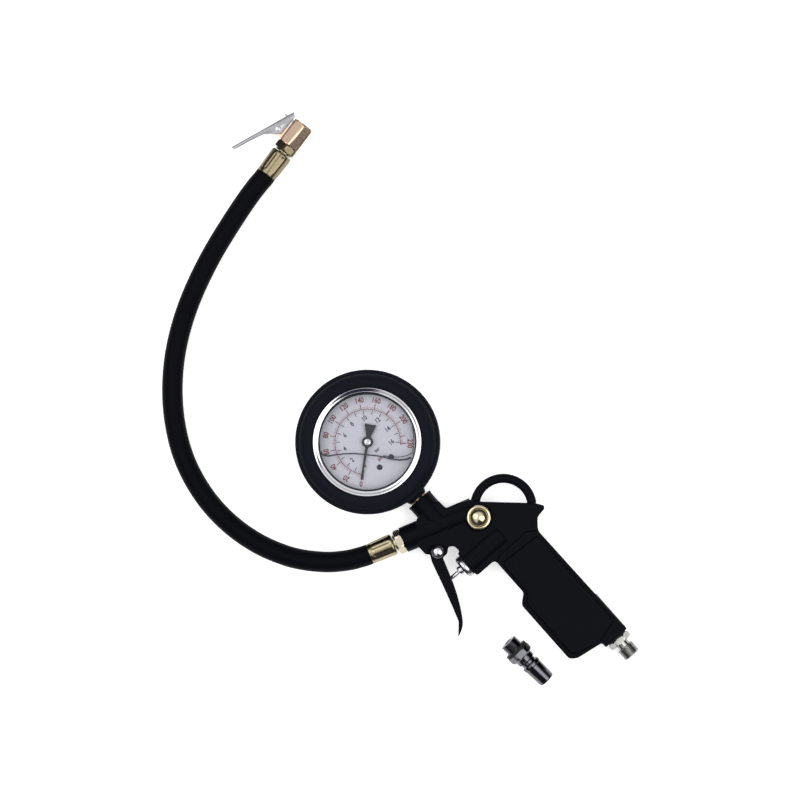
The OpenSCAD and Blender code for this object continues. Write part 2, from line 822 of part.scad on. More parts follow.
// hollow pin that opens the tyre valve's core
module chuck_depressor() {
    color(BRASS) difference() {
        union() {
            on_chuck(5.2) cylinder(r = 2.15, h = 2.4);
            on_chuck(7.5) cylinder(r = 1.2, h = 4.6);
        }
        on_chuck(5) cylinder(r = 0.6, h = 6);
    }
}

module lever_cheek() {
    polygon([[-25.2, 30.2], [-1.2, 19.6], [20.4, 10.6], [19.4, 9], [3.4, 9], [-0.6, 15.4],
        [-4, 19.2], [-13, 23.8], [-25.2, 29.2]]);
}

module chuck_lever() {
    color(CHROME) beside_chuck() difference() {
        union() {
            for (side = [-1, 1])
                translate([0, 0, side * 4.4]) linear_extrude(0.8, center = true) lever_cheek();
            linear_extrude(9.6, center = true) polygon([[-25.4, 31.2], [-25.4, 30.2],
                [-1.2, 19.5], [20.9, 10.2], [20.9, 11.3], [-1.2, 20.6]]);
            // claw, and the tab at the root of the jaw
            linear_extrude(4.4, center = true)
                polygon([[14.7, 13.4], [14.7, 5.2], [15.1, 4.5], [16.5, 4.5], [16.5, 12.6]]);
            linear_extrude(3, center = true)
                polygon([[15.3, 13], [15.9, 15.8], [16.7, 15.6], [16.8, 12.4]]);
        }
        translate([lever_pivot[0], lever_pivot[1], -9])
            cylinder(r = lever_pin_r + running_gap, h = 20);
    }
}

module chuck_pin() {
    color(STEEL) beside_chuck() translate([lever_pivot[0], lever_pivot[1], 0]) {
        translate([0, 0, -5]) cylinder(r = lever_pin_r, h = 10);
        translate([0, 0, 4.85]) cylinder(r1 = 2, r2 = 1.4, h = 0.8);
        translate([0, 0, -5.65]) cylinder(r1 = 1.4, r2 = 2, h = 0.8);
    }
}

module chuck_spring() {
    color(STEEL) beside_chuck() translate([lever_pivot[0], lever_pivot[1], 1.65])
        coil(1.75, 0.24, 3, 2.2, 1 / 3);
}

// ---------- quick plug ----------

// child's +Z from the plug's threaded end towards its tail
module on_plug(s) {
    height = plug_washer_r * cos(plug_tilt) + plug_washer_end * sin(plug_tilt);
    place() translate([plug_start[0], plug_start[1], height])
        rotate([0, 90 + plug_tilt, plug_dir]) translate([0, 0, s]) children();
}

module quick_plug() {
    color([0.30, 0.30, 0.34]) difference() {
        on_plug(0) union() {
            rotate_extrude() polygon([[0, 0], [5.8, 0], [thread_r, 0.8], [thread_r, 7.2],
                [5.9, 7.4], [5.9, 9.7], [0, 9.7]]);
            intersection() {
                translate([0, 0, 9.6]) rotate(30) hex(16, 5.4);
                rotate_extrude() polygon([[0, 9.6], [8.6, 9.6], [9, 10], [9, 13.6], [7.6, 15], [0, 15]]);
            }
            rotate_extrude() polygon([[0, 14.5], [6.7, 14.5], [6.7, 18.6], [5.4, 19.4], [5.4, 21.2],
                [6.9, 22.2], [6.9, 24.2], [6.4, 25], [6, 38.3], [5.3, 39], [0, 39]]);
        }
        on_plug(-1) cylinder(r = air_r, h = 42);
    }
}

module quick_plug_washer() {
    washer_t = 2.05;
    color(RUBBER) on_plug(plug_washer_end - washer_t) ring(plug_washer_r, thread_r + 0.05, washer_t);
}

gun_body();
trigger();
trigger_pin();
valve_gland();
gland_washer();
stem_seal();
valve_seat();
valve_stem();
valve_poppet();
poppet_seal();
valve_spring();
bleed_ring();
bleed_button();
bleed_seat();
bleed_poppet();
bleed_seal();
bleed_spring();
inlet_nipple();
inlet_washer();
gauge_boot();
gauge_case();
fill_plug();
bezel_ring();
window();
window_seal();
dial_plate();
dial_screws();
dial_legs();
gauge_socket();
bourdon_tube();
tube_tip();
tip_link();
movement_back_plate();
movement_front_plate();
movement_pillars();
sector_gear();
pinion();
hairspring();
pointer();
pointer_cap();
hose_nipple_gun();
hose_ferrule_gun();
hose();
hose_ferrule_chuck();
hose_nipple_chuck();
chuck_body();
chuck_seal();
chuck_depressor();
chuck_lever();
chuck_pin();
chuck_spring();
quick_plug();
quick_plug_washer();
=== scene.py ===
import math

import bmesh
import bpy
from mathutils import Matrix, Vector


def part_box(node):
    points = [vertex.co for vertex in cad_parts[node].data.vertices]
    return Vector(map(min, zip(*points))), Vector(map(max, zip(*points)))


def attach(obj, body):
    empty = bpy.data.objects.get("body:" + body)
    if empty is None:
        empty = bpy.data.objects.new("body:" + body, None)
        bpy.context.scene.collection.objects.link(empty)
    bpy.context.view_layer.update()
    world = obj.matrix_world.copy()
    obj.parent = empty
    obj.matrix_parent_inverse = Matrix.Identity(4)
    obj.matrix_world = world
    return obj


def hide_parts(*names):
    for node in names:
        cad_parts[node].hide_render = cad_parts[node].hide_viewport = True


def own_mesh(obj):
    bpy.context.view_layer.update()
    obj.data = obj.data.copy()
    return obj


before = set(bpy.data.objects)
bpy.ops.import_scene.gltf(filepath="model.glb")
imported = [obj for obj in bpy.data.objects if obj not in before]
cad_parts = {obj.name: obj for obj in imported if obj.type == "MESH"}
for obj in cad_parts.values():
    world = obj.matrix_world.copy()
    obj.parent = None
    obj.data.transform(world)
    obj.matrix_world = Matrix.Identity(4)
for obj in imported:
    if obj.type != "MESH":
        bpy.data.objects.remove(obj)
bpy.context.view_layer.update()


# ---------------- camera, light and floor
# A pale bench seen from above, under a bright ceiling and two wide lamps. The camera hangs over
# the middle of the hose's arc, and is turned so that the grip points down and to the right.
MM = 0.001
CAMERA_HEIGHT = 2.4
aim = Vector((28.8, 100.4, 12.5)) * MM
lean = Vector((0.0125, -0.031, 1)).normalized()
up = Vector((0.664, 0.748, 0))
camera = bpy.data.objects.new("camera", bpy.data.cameras.new("camera"))
camera.data.lens = 153.4
camera.data.clip_start = 0.01
right = up.cross(lean).normalized()
camera.matrix_world = Matrix.Translation(aim + lean * CAMERA_HEIGHT) @ Matrix(
    (right, lean.cross(right), lean)).transposed().to_4x4()
bpy.context.scene.collection.objects.link(camera)
bpy.context.scene.camera = camera


class Sock:
    """A shader value: Python's operators add the Math nodes that work it out."""

    def __init__(self, tree, socket):
        self.tree, self.socket = tree, socket

    def math(self, operation, *others):
        values = [self, *others]
        return self.tree.node("ShaderNodeMath", {"operation": operation}, dict(enumerate(values)))

    def __add__(self, other): return self.math("ADD", other)
    def __radd__(self, other): return self.math("ADD", other)
    def __sub__(self, other): return self.math("SUBTRACT", other)
    def __mul__(self, other): return self.math("MULTIPLY", other)
    def __rmul__(self, other): return self.math("MULTIPLY", other)
    def __rsub__(self, other): return (self * -1) + other


class Finish:
    """A material, or the world's light, and the one way that its nodes are made."""

    def __init__(self, owner):
        owner.use_nodes = True
        self.owner, self.nodes, self.links = owner, owner.node_tree.nodes, owner.node_tree.links
        self.shader = self.nodes.get("Principled BSDF") or self.nodes.get("Background")

    def node(self, kind, settings=None, inputs=None, out=0):
        made = self.nodes.new(kind)
        for key, value in (settings or {}).items():
            if key == "stops":
                ramp = made.color_ramp
                while len(ramp.elements) < len(value):
                    ramp.elements.new(0.5)
                for element, (at, colour) in zip(ramp.elements, value):
                    element.position, element.color = at, (*colour, 1)
            else:
                setattr(made, key, value)
        for key, value in (inputs or {}).items():
            self.put(made.inputs[key], value)
        return Sock(self, made.outputs[out])

    def put(self, socket, value):
        if isinstance(value, Sock):
            self.links.new(value.socket, socket)
        else:
            socket.default_value = (*value, 1) if isinstance(value, tuple) and len(value) == 3 \
                and socket.type == "RGBA" else value

    def mix(self, factor, low, high):
        mixer = self.nodes.new("ShaderNodeMix")
        mixer.data_type = "RGBA"
        for index, value in ((0, factor), (6, low), (7, high)):
            self.put(mixer.inputs[index], value)
        return Sock(self, mixer.outputs[2])

    def place(self):
        return self.node("ShaderNodeTexCoord", out=3)

    def noise(self, scale, detail=3.0, rough=0.55, stretch=None):
        where = self.place()
        if stretch:
            where = self.node("ShaderNodeMapping", {}, {"Vector": where, "Scale": stretch})
        return self.node("ShaderNodeTexNoise", {}, {
            "Vector": where, "Scale": scale, "Detail": detail, "Roughness": rough})

    def ramp(self, value, *stops):
        return self.node("ShaderNodeValToRGB", {"stops": stops}, {"Fac": value})

    def bump(self, height, strength, distance=0.0001, under=None):
        inputs = {"Height": height, "Strength": strength, "Distance": distance}
        if under is not None:
            inputs["Normal"] = under
        return self.node("ShaderNodeBump", {}, inputs)

    def set(self, **inputs):
        for key, value in inputs.items():
            self.put(self.shader.inputs[key.replace("_", " ")], value)
        return self


def material(name):
    return Finish(bpy.data.materials.new(name))


floor_paint = material("bench_white")
floor_paint.set(Base_Color=floor_paint.mix(floor_paint.noise(3.0), (0.955, 0.955, 0.955),
                                           (0.97, 0.97, 0.97)), Roughness=0.7)
floor_paint.shader.inputs["Specular IOR Level"].default_value = 0.2
floor_paint.shader.inputs["Emission Color"].default_value = (1, 1, 1, 1)
floor_paint.shader.inputs["Emission Strength"].default_value = 0.55
floor_mesh = bpy.data.meshes.new("bench")
floor_mesh.from_pydata([(-4, -4, 0), (4, -4, 0), (4, 4, 0), (-4, 4, 0)], [], [(0, 1, 2, 3)])
floor_mesh.materials.append(floor_paint.owner)
floor = bpy.data.objects.new("bench", floor_mesh)
floor.location.z = -0.0002
bpy.context.scene.collection.objects.link(floor)

sky = Finish(bpy.data.worlds.new("studio"))
bpy.context.scene.world = sky.owner
toward = sky.node("ShaderNodeTexCoord", out=0)
height = sky.node("ShaderNodeSeparateXYZ", {}, {"Vector": toward}, out=2)
daylight = sky.ramp(
    height, (0.0, (0.60, 0.61, 0.63)), (0.07, (0.05, 0.05, 0.06)), (0.50, (0.04, 0.04, 0.05)),
    (0.66, (0.72, 0.72, 0.74)), (0.86, (1.0, 1.0, 1.0)), (0.97, (0.92, 0.92, 0.94)))
# Three dark cards under the ceiling, which polished rings mirror as dark crescents.
CARD_LEVEL = math.radians(48)
CARD_EDGE = 0.012
for turn, half in ((-117, 21), (-30, 12), (135, 11)):
    card = (math.cos(math.radians(turn)) * math.cos(CARD_LEVEL),
            math.sin(math.radians(turn)) * math.cos(CARD_LEVEL), math.sin(CARD_LEVEL))
    near = sky.node("ShaderNodeVectorMath", {"operation": "DOT_PRODUCT"}, {0: toward, 1: card},
                    out=1)
    edge_at = math.cos(math.radians(half))
    daylight = sky.mix(
        sky.ramp(near, (edge_at - CARD_EDGE, (0, 0, 0)), (edge_at, (1, 1, 1))),
        daylight, (0.03, 0.03, 0.05))
sky.put(sky.shader.inputs["Color"], daylight)
sky.shader.inputs["Strength"].default_value = 1.15


def lamp(name, where, size, watts):
    light = bpy.data.lights.new(name, "AREA")
    light.shape, light.size, light.energy = "DISK", size, watts
    holder = bpy.data.objects.new(name, light)
    holder.location = aim + Vector(where)
    holder.rotation_euler = (-Vector(where)).to_track_quat("-Z", "Y").to_euler()
    bpy.context.scene.collection.objects.link(holder)


LAMP_OUT, LAMP_HIGH, LAMP_WIDE = 0.8, 1.2, 1.3
for turn, watts in ((125, 7), (-60, 8)):
    way = math.radians(turn)
    lamp(f"softbox_{turn}", (
        math.cos(way) * LAMP_OUT, math.sin(way) * LAMP_OUT, LAMP_HIGH), LAMP_WIDE, watts)
bpy.context.scene.view_settings.view_transform = "Standard"


# ---------------- hose
# A rubber air hose of nominal 14 mm, extruded smooth and cut to length. It leaves the gun's
# ferrule in line with the barrel, drops to the bench and lies in one wide arc to the chuck.
def joined(name, verts, faces, slot, finish, body="gun", crease=32):
    """Puts a mesh in the scene, in millimetres of the row's frame, and makes it ride."""
    mesh = bpy.data.meshes.new(name)
    mesh.from_pydata([tuple(Vector(v) * MM) for v in verts], [], faces)
    made = bpy.data.objects.new(name, mesh)
    bpy.context.scene.collection.objects.link(made)
    tidy(made)
    return finished(made, finish, body, crease)


def tidy(made):
    bm = bmesh.new()
    bm.from_mesh(made.data)
    bmesh.ops.remove_doubles(bm, verts=bm.verts, dist=2e-6)
    bmesh.ops.dissolve_degenerate(bm, edges=bm.edges, dist=1e-6)
    bmesh.ops.recalc_face_normals(bm, faces=bm.faces)
    bm.to_mesh(made.data)
    bm.free()


def finished(made, finish, body="gun", crease=32):
    made.data.materials.clear()
    made.data.materials.append(finish.owner)
    made.data.shade_smooth()
    made.data.set_sharp_from_angle(angle=math.radians(crease))
    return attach(made, body)


def smooth_path(points, steps):
    """A Catmull-Rom curve through the points, with that many steps to each span."""
    points = [Vector(p) for p in points]
    made = []
    for i in range(len(points) - 1):
        a, b, c, d = (points[max(i - 1, 0)], points[i], points[i + 1],
                      points[min(i + 2, len(points) - 1)])
        for k in range(steps):
            t = k / steps
            made.append(0.5 * (2 * b + (c - a) * t + (2 * a - 5 * b + 4 * c - d) * t * t
                               + (3 * b - a - 3 * c + d) * t ** 3))
    return made + [points[-1]]


HOSE_R = 7.3
BARREL_FACE = Vector((-35.0, 25.2, 12.5))
BARREL_WAY = Vector((math.cos(math.radians(161)), math.sin(math.radians(161)), 0))
CHUCK_FOOT = Vector((89.0, 287.4, 8.8))
CHUCK_WAY = Vector((math.cos(math.radians(11)), math.sin(math.radians(11)), 0))
FERRULE_END = 25.6
hose_from = BARREL_FACE + BARREL_WAY * FERRULE_END
hose_to = CHUCK_FOOT - CHUCK_WAY * FERRULE_END
hose_route = [
    hose_from, hose_from + BARREL_WAY * 3, (-66, 36.4, 12.35), (-70.5, 38.6, 12.1),
    (-77.3, 42.9, 11.4), (-85.8, 49.5, 10.2), (-95.9, 60.1, 8.7), (-104.5, 72.2, 7.6),
    *[(x, y, HOSE_R) for x, y in (
        (-113.1, 90.3), (-118.6, 111.4), (-120.1, 133), (-117.6, 154.1), (-111.5, 174.2),
        (-101.5, 193.3), (-89, 210.4), (-73.9, 225.9), (-57.3, 238.9), (-39.2, 249.9),
        (-20.2, 258.9), (-0.2, 266.6), (20.3, 272.9))],
    (39.9, 278.1, 7.8), (53, 280.8, 8.5), hose_to - CHUCK_WAY * 4, hose_to]
hose_line = smooth_path(hose_route, 8)


def tube(points, radius, sides):
    """Corners and faces of a round tube along the points, closed at both ends."""
    points = [Vector(p) for p in points]
    verts, faces = [], []
    side = None
    for i, p in enumerate(points):
        along = (points[min(i + 1, len(points) - 1)] - points[max(i - 1, 0)]).normalized()
        side = along.orthogonal().normalized() if side is None \
            else (side - along * side.dot(along)).normalized()
        other = along.cross(side)
        r = radius[i] if isinstance(radius, list) else radius
        verts += [p + r * (math.cos(2 * math.pi * k / sides) * side
                           + math.sin(2 * math.pi * k / sides) * other) for k in range(sides)]
    for i in range(len(points) - 1):
        faces += [(i * sides + k, i * sides + (k + 1) % sides, (i + 1) * sides + (k + 1) % sides,
                   (i + 1) * sides + k) for k in range(sides)]
    last = (len(points) - 1) * sides
    faces += [tuple(range(sides - 1, -1, -1)), tuple(range(last, last + sides))]
    return verts, faces


hose_rubber = material("hose_rubber")
grain = hose_rubber.noise(900, 4)
cloud = hose_rubber.noise(45, 2)
hose_rubber.set(
    Base_Color=hose_rubber.ramp(cloud, (0.3, (0.0022, 0.0024, 0.0036)),
                                (0.7, (0.0030, 0.0032, 0.0048))),
    Roughness=0.46 + 0.10 * cloud, Normal=hose_rubber.bump(grain, 0.25, 0.00005))
hose_rubber.shader.inputs["Specular IOR Level"].default_value = 0.035
hose_verts, hose_faces = tube(hose_line, HOSE_R, 40)
hose = joined("hose", hose_verts, hose_faces, "hose_rubber", hose_rubber)
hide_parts("hose")


# ---------------- hose fittings
# Each end of the hose is crimped in a yellow zinc-plated ferrule: a drawn cup pressed in at
# eight flats round it, with a rolled lip. Its hexagon nipple screws into the barrel or the chuck.
def hexagon(across):
    """Radius of a hexagon's side in each direction, no more than the turned corner's radius."""
    def limit(angle, r):
        return min(r, across / 2 / math.cos((angle + math.pi / 6) % (math.pi / 3) - math.pi / 6))
    return limit


def turned(rows, origin, way, count=96, start=None):
    """A turned piece: rows of (radius, station) or (radius, station, shape) round an axis."""
    way = Vector(way).normalized()
    if start is None:
        start = (0, 0, 1) if abs(way.z) < 0.9 else (1, 0, 0)
    side = Vector(start)
    other = way.cross(side)
    verts, faces = [], []
    for row in rows:
        for k in range(count):
            angle = 2 * math.pi * k / count
            r = row[2](angle, row[0]) if len(row) > 2 and row[2] else row[0]
            verts.append(Vector(origin) + way * row[1]
                         + r * (math.cos(angle) * side + math.sin(angle) * other))
    n = len(rows)
    for i in range(n):
        j = (i + 1) % n
        faces += [(i * count + k, i * count + (k + 1) % count, j * count + (k + 1) % count,
                   j * count + k) for k in range(count)]
    return verts, faces


def screw(major, first, last, pitch=1.337, depth=0.62, per=10):
    """Rows of a 55-degree pipe thread between two stations, run out at both ends."""
    rows = []
    steps = max(2, round(abs(last - first) / pitch * per))
    for i in range(steps + 1):
        z = first + (last - first) * i / steps

        def cut(angle, r, z=z):
            turn = (z / pitch - angle / (2 * math.pi)) % 1
            run_out = min(1, min(abs(z - first), abs(z - last)) / (0.5 * pitch))
            flank = min(1, max(0, 1.25 * (1 - abs(2 * turn - 1)) - 0.12))
            return r - depth * flank * run_out
        rows.append((major, z, cut))
    return rows


def plated(name, low, high, rough, bump=0.15, scale=700, brushed=(1, 1, 1)):
    """A plated or polished metal: slight colour drift, smears in its gloss, fine tool marks."""
    made = material(name)
    drift, marks = made.noise(60, 3), made.noise(scale, 3, 0.6, brushed)
    made.set(Base_Color=made.mix(drift, low, high), Metallic=1.0,
             Roughness=rough + 0.16 * (drift - 0.5) + 0.10 * (marks - 0.5),
             Normal=made.bump(marks, bump, 0.00003))
    return made


# One fitting zinc in three tones: yellow is its plating; the darker copy is painted shade, the
# paler copy painted light.
yellow_zinc = plated("yellow_zinc", (0.25, 0.21, 0.13), (0.37, 0.32, 0.20), 0.22, 0.3)
olive_zinc = plated("olive_zinc", (0.15, 0.125, 0.075), (0.25, 0.21, 0.13), 0.22, 0.3)
pale_zinc = plated("pale_zinc", (0.46, 0.41, 0.30), (0.58, 0.52, 0.41), 0.26, 0.2)
FITTING_AF = 15.0


def crimped(angle, r):
    """Eight pressed flats round a ferrule."""
    return r * (0.955 + 0.045 * abs(math.cos(4 * angle)) ** 0.8)


def hose_end(name, origin, way, screw_r, screw_len, corner_up=None):
    """One hose end's nipple and ferrule. The chuck's has a corner of its hexagon up, and its zinc
    is a darker copy, as painted shade; the gun's nipple takes a paler copy, as painted light."""
    nut = hexagon(FITTING_AF)
    corner = FITTING_AF / 2 / math.cos(math.pi / 6)
    rows = [(2, -screw_len), (screw_r - 0.7, -screw_len)]
    rows += screw(screw_r, -screw_len + 0.6, -0.6, depth=0.55)
    rows += [(screw_r - 0.5, -0.3), (screw_r - 0.5, 0.05), (7.2, 0.05), (7.5, 0.1, nut),
             (8.1, 0.45, nut), (corner, 0.95, nut), (corner, 4.35, nut), (8.1, 4.85, nut),
             (7.5, 5.2, nut), (7.1, 5.25), (6.3, 5.3), (6.1, 5.6), (6.1, 6.4), (3.2, 6.45)]
    station = 8.0
    while station < 23.5:
        rows += [(3.2, station), (2.75, station + 0.1), (3.2, station + 2.2)]
        station += 2.4
    rows += [(2.9, 24.4), (2, 24.4)]
    nipple = joined(f"hose_nipple_{name}", *turned(rows, origin, way, start=corner_up),
                    "fitting_zinc", olive_zinc if corner_up else pale_zinc)
    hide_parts(f"hose_nipple_{name}")
    cup = [(3.3, 6.95), (6.2, 6.95), (7.1, 7.0), (7.4, 7.25), (7.75, 7.9), (7.8, 8.5), (7.75, 9.1)]
    cup += [(7.8 - 0.3 * i / 12, 9.6 + 12.8 * i / 12, crimped)
            for i in range(13)]
    cup += [(7.35, 22.8), (7.4, 23.4), (7.4, 24.9), (7.36, 25.25), (7.2, 25.4), (3.3, 25.4)]
    ferrule = joined(f"hose_ferrule_{name}", *turned(cup, origin, way), "fitting_zinc",
                     olive_zinc if corner_up else yellow_zinc)
    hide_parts(f"hose_ferrule_{name}")
    return [nipple, ferrule]


hose_end("gun", BARREL_FACE, BARREL_WAY, 6.58, 11.3)
chuck_end = hose_end("chuck", CHUCK_FOOT, -CHUCK_WAY, 4.6, 4.9,
                     Vector((0, 0, 1)).cross(CHUCK_WAY))


# ---------------- gun body
# One aluminium die casting: grip, head plate, barrel, gauge boss, valve boss and hanging loop,
# with soft cast edges, bored and tapped afterwards, then coated in satin black paint.
SHIFT = Vector((32, -15, 0))
MID = 12.5


def gun_point(x, y, z=MID):
    return Vector((x, y, z)) + SHIFT


def rounded(outline, radius, steps=5):
    """An outline of points (x, y) or (x, y, own radius) with each corner rounded."""
    made = []
    n = len(outline)
    for i in range(n):
        here = Vector(outline[i][:2])
        r = outline[i][2] if len(outline[i]) > 2 else radius
        before, after = Vector(outline[i - 1][:2]) - here, Vector(outline[(i + 1) % n][:2]) - here
        angle = before.angle(after)
        if r <= 0 or angle > math.radians(176):
            made.append(here)
            continue
        back = min(r / math.tan(angle / 2), 0.48 * before.length, 0.48 * after.length)
        a, b = here + before.normalized() * back, here + after.normalized() * back
        for k in range(steps + 1):
            t = k / steps
            made.append(a * (1 - t) ** 2 + here * 2 * t * (1 - t) + b * t * t)
    return made


def slab(outline, low, high, shift=SHIFT):
    """Corners and faces of a plate between two heights."""
    n = len(outline)
    verts = [Vector((p[0], p[1], z)) + Vector((shift[0], shift[1], 0))
             for z in (low, high) for p in outline]
    faces = [tuple(range(n - 1, -1, -1)), tuple(range(n, 2 * n))]
    faces += [(i, (i + 1) % n, n + (i + 1) % n, n + i) for i in range(n)]
    return verts, faces


def rod(origin, way, r1, r2, length, count=64):
    return turned([(0, 0), (r1, 0), (r2, length), (0, length)], origin, way, count)


def merged(name, parts):
    """Closed meshes in one object, in metres, not yet joined."""
    verts, faces = [], []
    for v, f in parts:
        faces += [tuple(i + len(verts) for i in face) for face in f]
        verts += [tuple(Vector(p) * MM) for p in v]
    mesh = bpy.data.meshes.new(name)
    mesh.from_pydata(verts, [], faces)
    made = bpy.data.objects.new(name, mesh)
    bpy.context.scene.collection.objects.link(made)
    tidy(made)
    return made


def applied(made):
    """Applies every modifier to the object's own mesh."""
    graph = bpy.context.evaluated_depsgraph_get()
    fresh = bpy.data.meshes.new_from_object(made.evaluated_get(graph))
    made.modifiers.clear()
    made.data = fresh
    return made


def cut(made, parts, operation="DIFFERENCE"):
    """Cuts each closed part out of the object, or joins it on."""
    for i, part in enumerate(parts):
        tool = merged(f"{made.name}_tool_{i}", [part])
        step = made.modifiers.new("cut", "BOOLEAN")
        step.operation, step.solver, step.object = operation, "MANIFOLD", tool
        applied(made)
        bpy.data.objects.remove(tool)
    return made


def cast(name, parts, voxel, rounds):
    """Fuses closed parts into one skin and softens its edges, as a casting's are. Each push in
    is followed by a push out, so that the skin doesn't shrink."""
    made = merged(name, parts)
    skin = made.modifiers.new("skin", "REMESH")
    skin.mode, skin.voxel_size, skin.use_smooth_shade = "VOXEL", voxel, True
    for _ in range(rounds):
        for push in (0.5, -0.48):
            soft = made.modifiers.new("soft", "SMOOTH")
            soft.factor, soft.iterations = push, 1
    return applied(made)


head_outline = rounded([
    (-44.5, 7.4), (-42.4, 8.2), (-42.6, 13, 3), (-46, 15.9, 3), (-50, 12.6, 2), (-55, 12.4, 2),
    (-60.2, 20.8), (-61.7, 22.4), (-61.7, 30), (-50, 45), (-30.1, 45), (-29.6, 36.8, 2.5),
    (-21.5, 34.5, 8), (-13, 30.3, 3), (-8, 24, 0.5), (15.5, 2, 0.5), (20.4, -3, 2),
    (23.4, -7.4, 1.4), (21.8, -9.1, 1.4), (14.5, -10.2, 5), (8.4, -17.5, 8), (8.6, -40, 0.5),
    (-27.9, -40, 0.5),
    (-27.9, -12.9, 3), (-43, -12.9, 1.6), (-44.5, -11.6)], 1.5)
grip_outline = rounded([
    (8.4, -17.5, 6), (9.2, -100, 30), (9.4, -110, 1.2), (-10.3, -110, 1.2), (-10.3, -105.8, 1.5),
    (-30, -102.5, 5), (-34.8, -99, 4), (-34.8, -49, 4), (-27.9, -43.5, 4), (-27.9, -14.2, 4),
    (-22, -12.9, 3), (2, -12.9, 3)], 2)
LOOP_AT, LOOP_R = (1.2, 10.8), 20.2
loop_angles = [math.radians(145 - i * 178 / 52) for i in range(53)]
loop_middle = [gun_point(LOOP_AT[0] + LOOP_R * math.cos(a), LOOP_AT[1] + LOOP_R * math.sin(a))
               for a in loop_angles]


def oval_bar(points, wide, high, count=20):
    """A bar of oval section along points that lie level."""
    verts, faces = [], []
    for i, p in enumerate(points):
        along = (points[min(i + 1, len(points) - 1)] - points[max(i - 1, 0)]).normalized()
        side = Vector((-along.y, along.x, 0))
        for k in range(count):
            a = 2 * math.pi * k / count
            c, s = math.cos(a), math.sin(a)
            verts.append(p + side * wide * math.copysign(abs(c) ** 0.7, c)
                         + Vector((0, 0, high * math.copysign(abs(s) ** 0.7, s))))
    for i in range(len(points) - 1):
        faces += [(i * count + k, i * count + (k + 1) % count, (i + 1) * count + (k + 1) % count,
                   (i + 1) * count + k) for k in range(count)]
    last = (len(points) - 1) * count
    return verts, faces + [tuple(range(count - 1, -1, -1)), tuple(range(last, last + count))]


VALVE_Y = -2.4
valve_way, inlet_way, stem_way = Vector((1, 0, 0)), Vector((0, -1, 0)), Vector((0, 1, 0))
inset = rounded([(p[0] * 0.9 - 1.2, p[1] * 0.975 - 1.5) for p in (
    (7.4, -19), (8, -100), (-9, -104.6), (-29, -100.6), (-33, -97), (-33, -50), (-26.6, -44.5),
    (-26.6, -17))], 3)
casting = cast("gun_body", [
    slab(head_outline, MID - 7.9, MID + 7.9),
    slab(grip_outline, MID - 10.2, MID + 10.2),
    slab(inset, MID - 12.5, MID + 12.5),
    oval_bar(loop_middle, 3.3, 4.0),
    rod(gun_point(-44.5, VALVE_Y), valve_way, 10.2, 10.2, 32),
    rod(BARREL_FACE - BARREL_WAY * 54, BARREL_WAY, 9.5, 9.1, 54.0),
    turned([(0, 0), (9.4, 0), (9.4, 24.4), (9.75, 24.9), (9.75, 26.2), (0, 26.2)],
           gun_point(-39.5, 28), stem_way),
    rod(gun_point(-16.4, 16.9), (0, 0, 1), 9.6, 9.2, 9.3),
    rod(gun_point(-16.4, 16.9), (0, 0, -1), 9.6, 9.2, 8.6),
    turned([(0, 0), (9.6, 0), (9.6, 32), (0, 32)], gun_point(0, -78.0), inlet_way),
    rod(gun_point(-54, 17.8), (0, 0, -1), 5.6, 5.6, 5.0),
], 0.5 * MM, 7)
trigger_room = rounded([(-53.0, 24.0), (-58, 24.6), (-60.8, 22), (-66, 22), (-72, 2), (-48, 2),
                        (-48.2, 14.5), (-47.6, 19)], 2.5)
cut(casting, [
    slab(trigger_room, MID + 5, MID + 30), slab(trigger_room, MID - 30, MID - 5),
    rod(gun_point(0, -98), inlet_way, 6.65, 6.65, 20),
    rod(gun_point(0, VALVE_Y), inlet_way, 3.5, 3.5, 100),
    rod(gun_point(-46, VALVE_Y), valve_way, 6.7, 6.7, 13),
    rod(gun_point(-44.5, VALVE_Y), valve_way, 5.5, 5.5, 50.5),
    rod(gun_point(-26, VALVE_Y), stem_way, 2.5, 2.5, 28.5),
    rod(BARREL_FACE - BARREL_WAY * 12, BARREL_WAY, 6.65, 6.65, 16),
    rod(BARREL_FACE - BARREL_WAY * 50, BARREL_WAY, 3, 3, 50),
    rod(gun_point(-39.5, 42.2), stem_way, 6.65, 6.65, 16),
    rod(gun_point(-39.5, 30), stem_way, 2.5, 2.5, 16),
    rod(gun_point(-16.4, 16.9, 14), (0, 0, 1), 7.9, 7.9, 14),
    rod(gun_point(-16.4, 16.9, 5), (0, 0, 1), 4.5, 4.5, 12),
    rod(gun_point(-54, 17.8, 0), (0, 0, 1), 2.42, 2.42, 30),
])
satin_black = material("satin_black_paint")
peel, speck = satin_black.noise(520, 3), satin_black.noise(1700, 2, 0.7)
tone = satin_black.noise(28, 3)
satin_black.set(
    Base_Color=satin_black.mix(tone, (0.0022, 0.0025, 0.0044), (0.0031, 0.0035, 0.0060)),
    Roughness=0.40 + 0.16 * (tone - 0.5) + 0.10 * (speck - 0.5),
    Normal=satin_black.bump(speck, 0.16, 0.00004, satin_black.bump(peel, 0.35, 0.00008)))
satin_black.shader.inputs["Specular IOR Level"].default_value = 0.04
finished(casting, satin_black, crease=50)
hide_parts("gun_body")


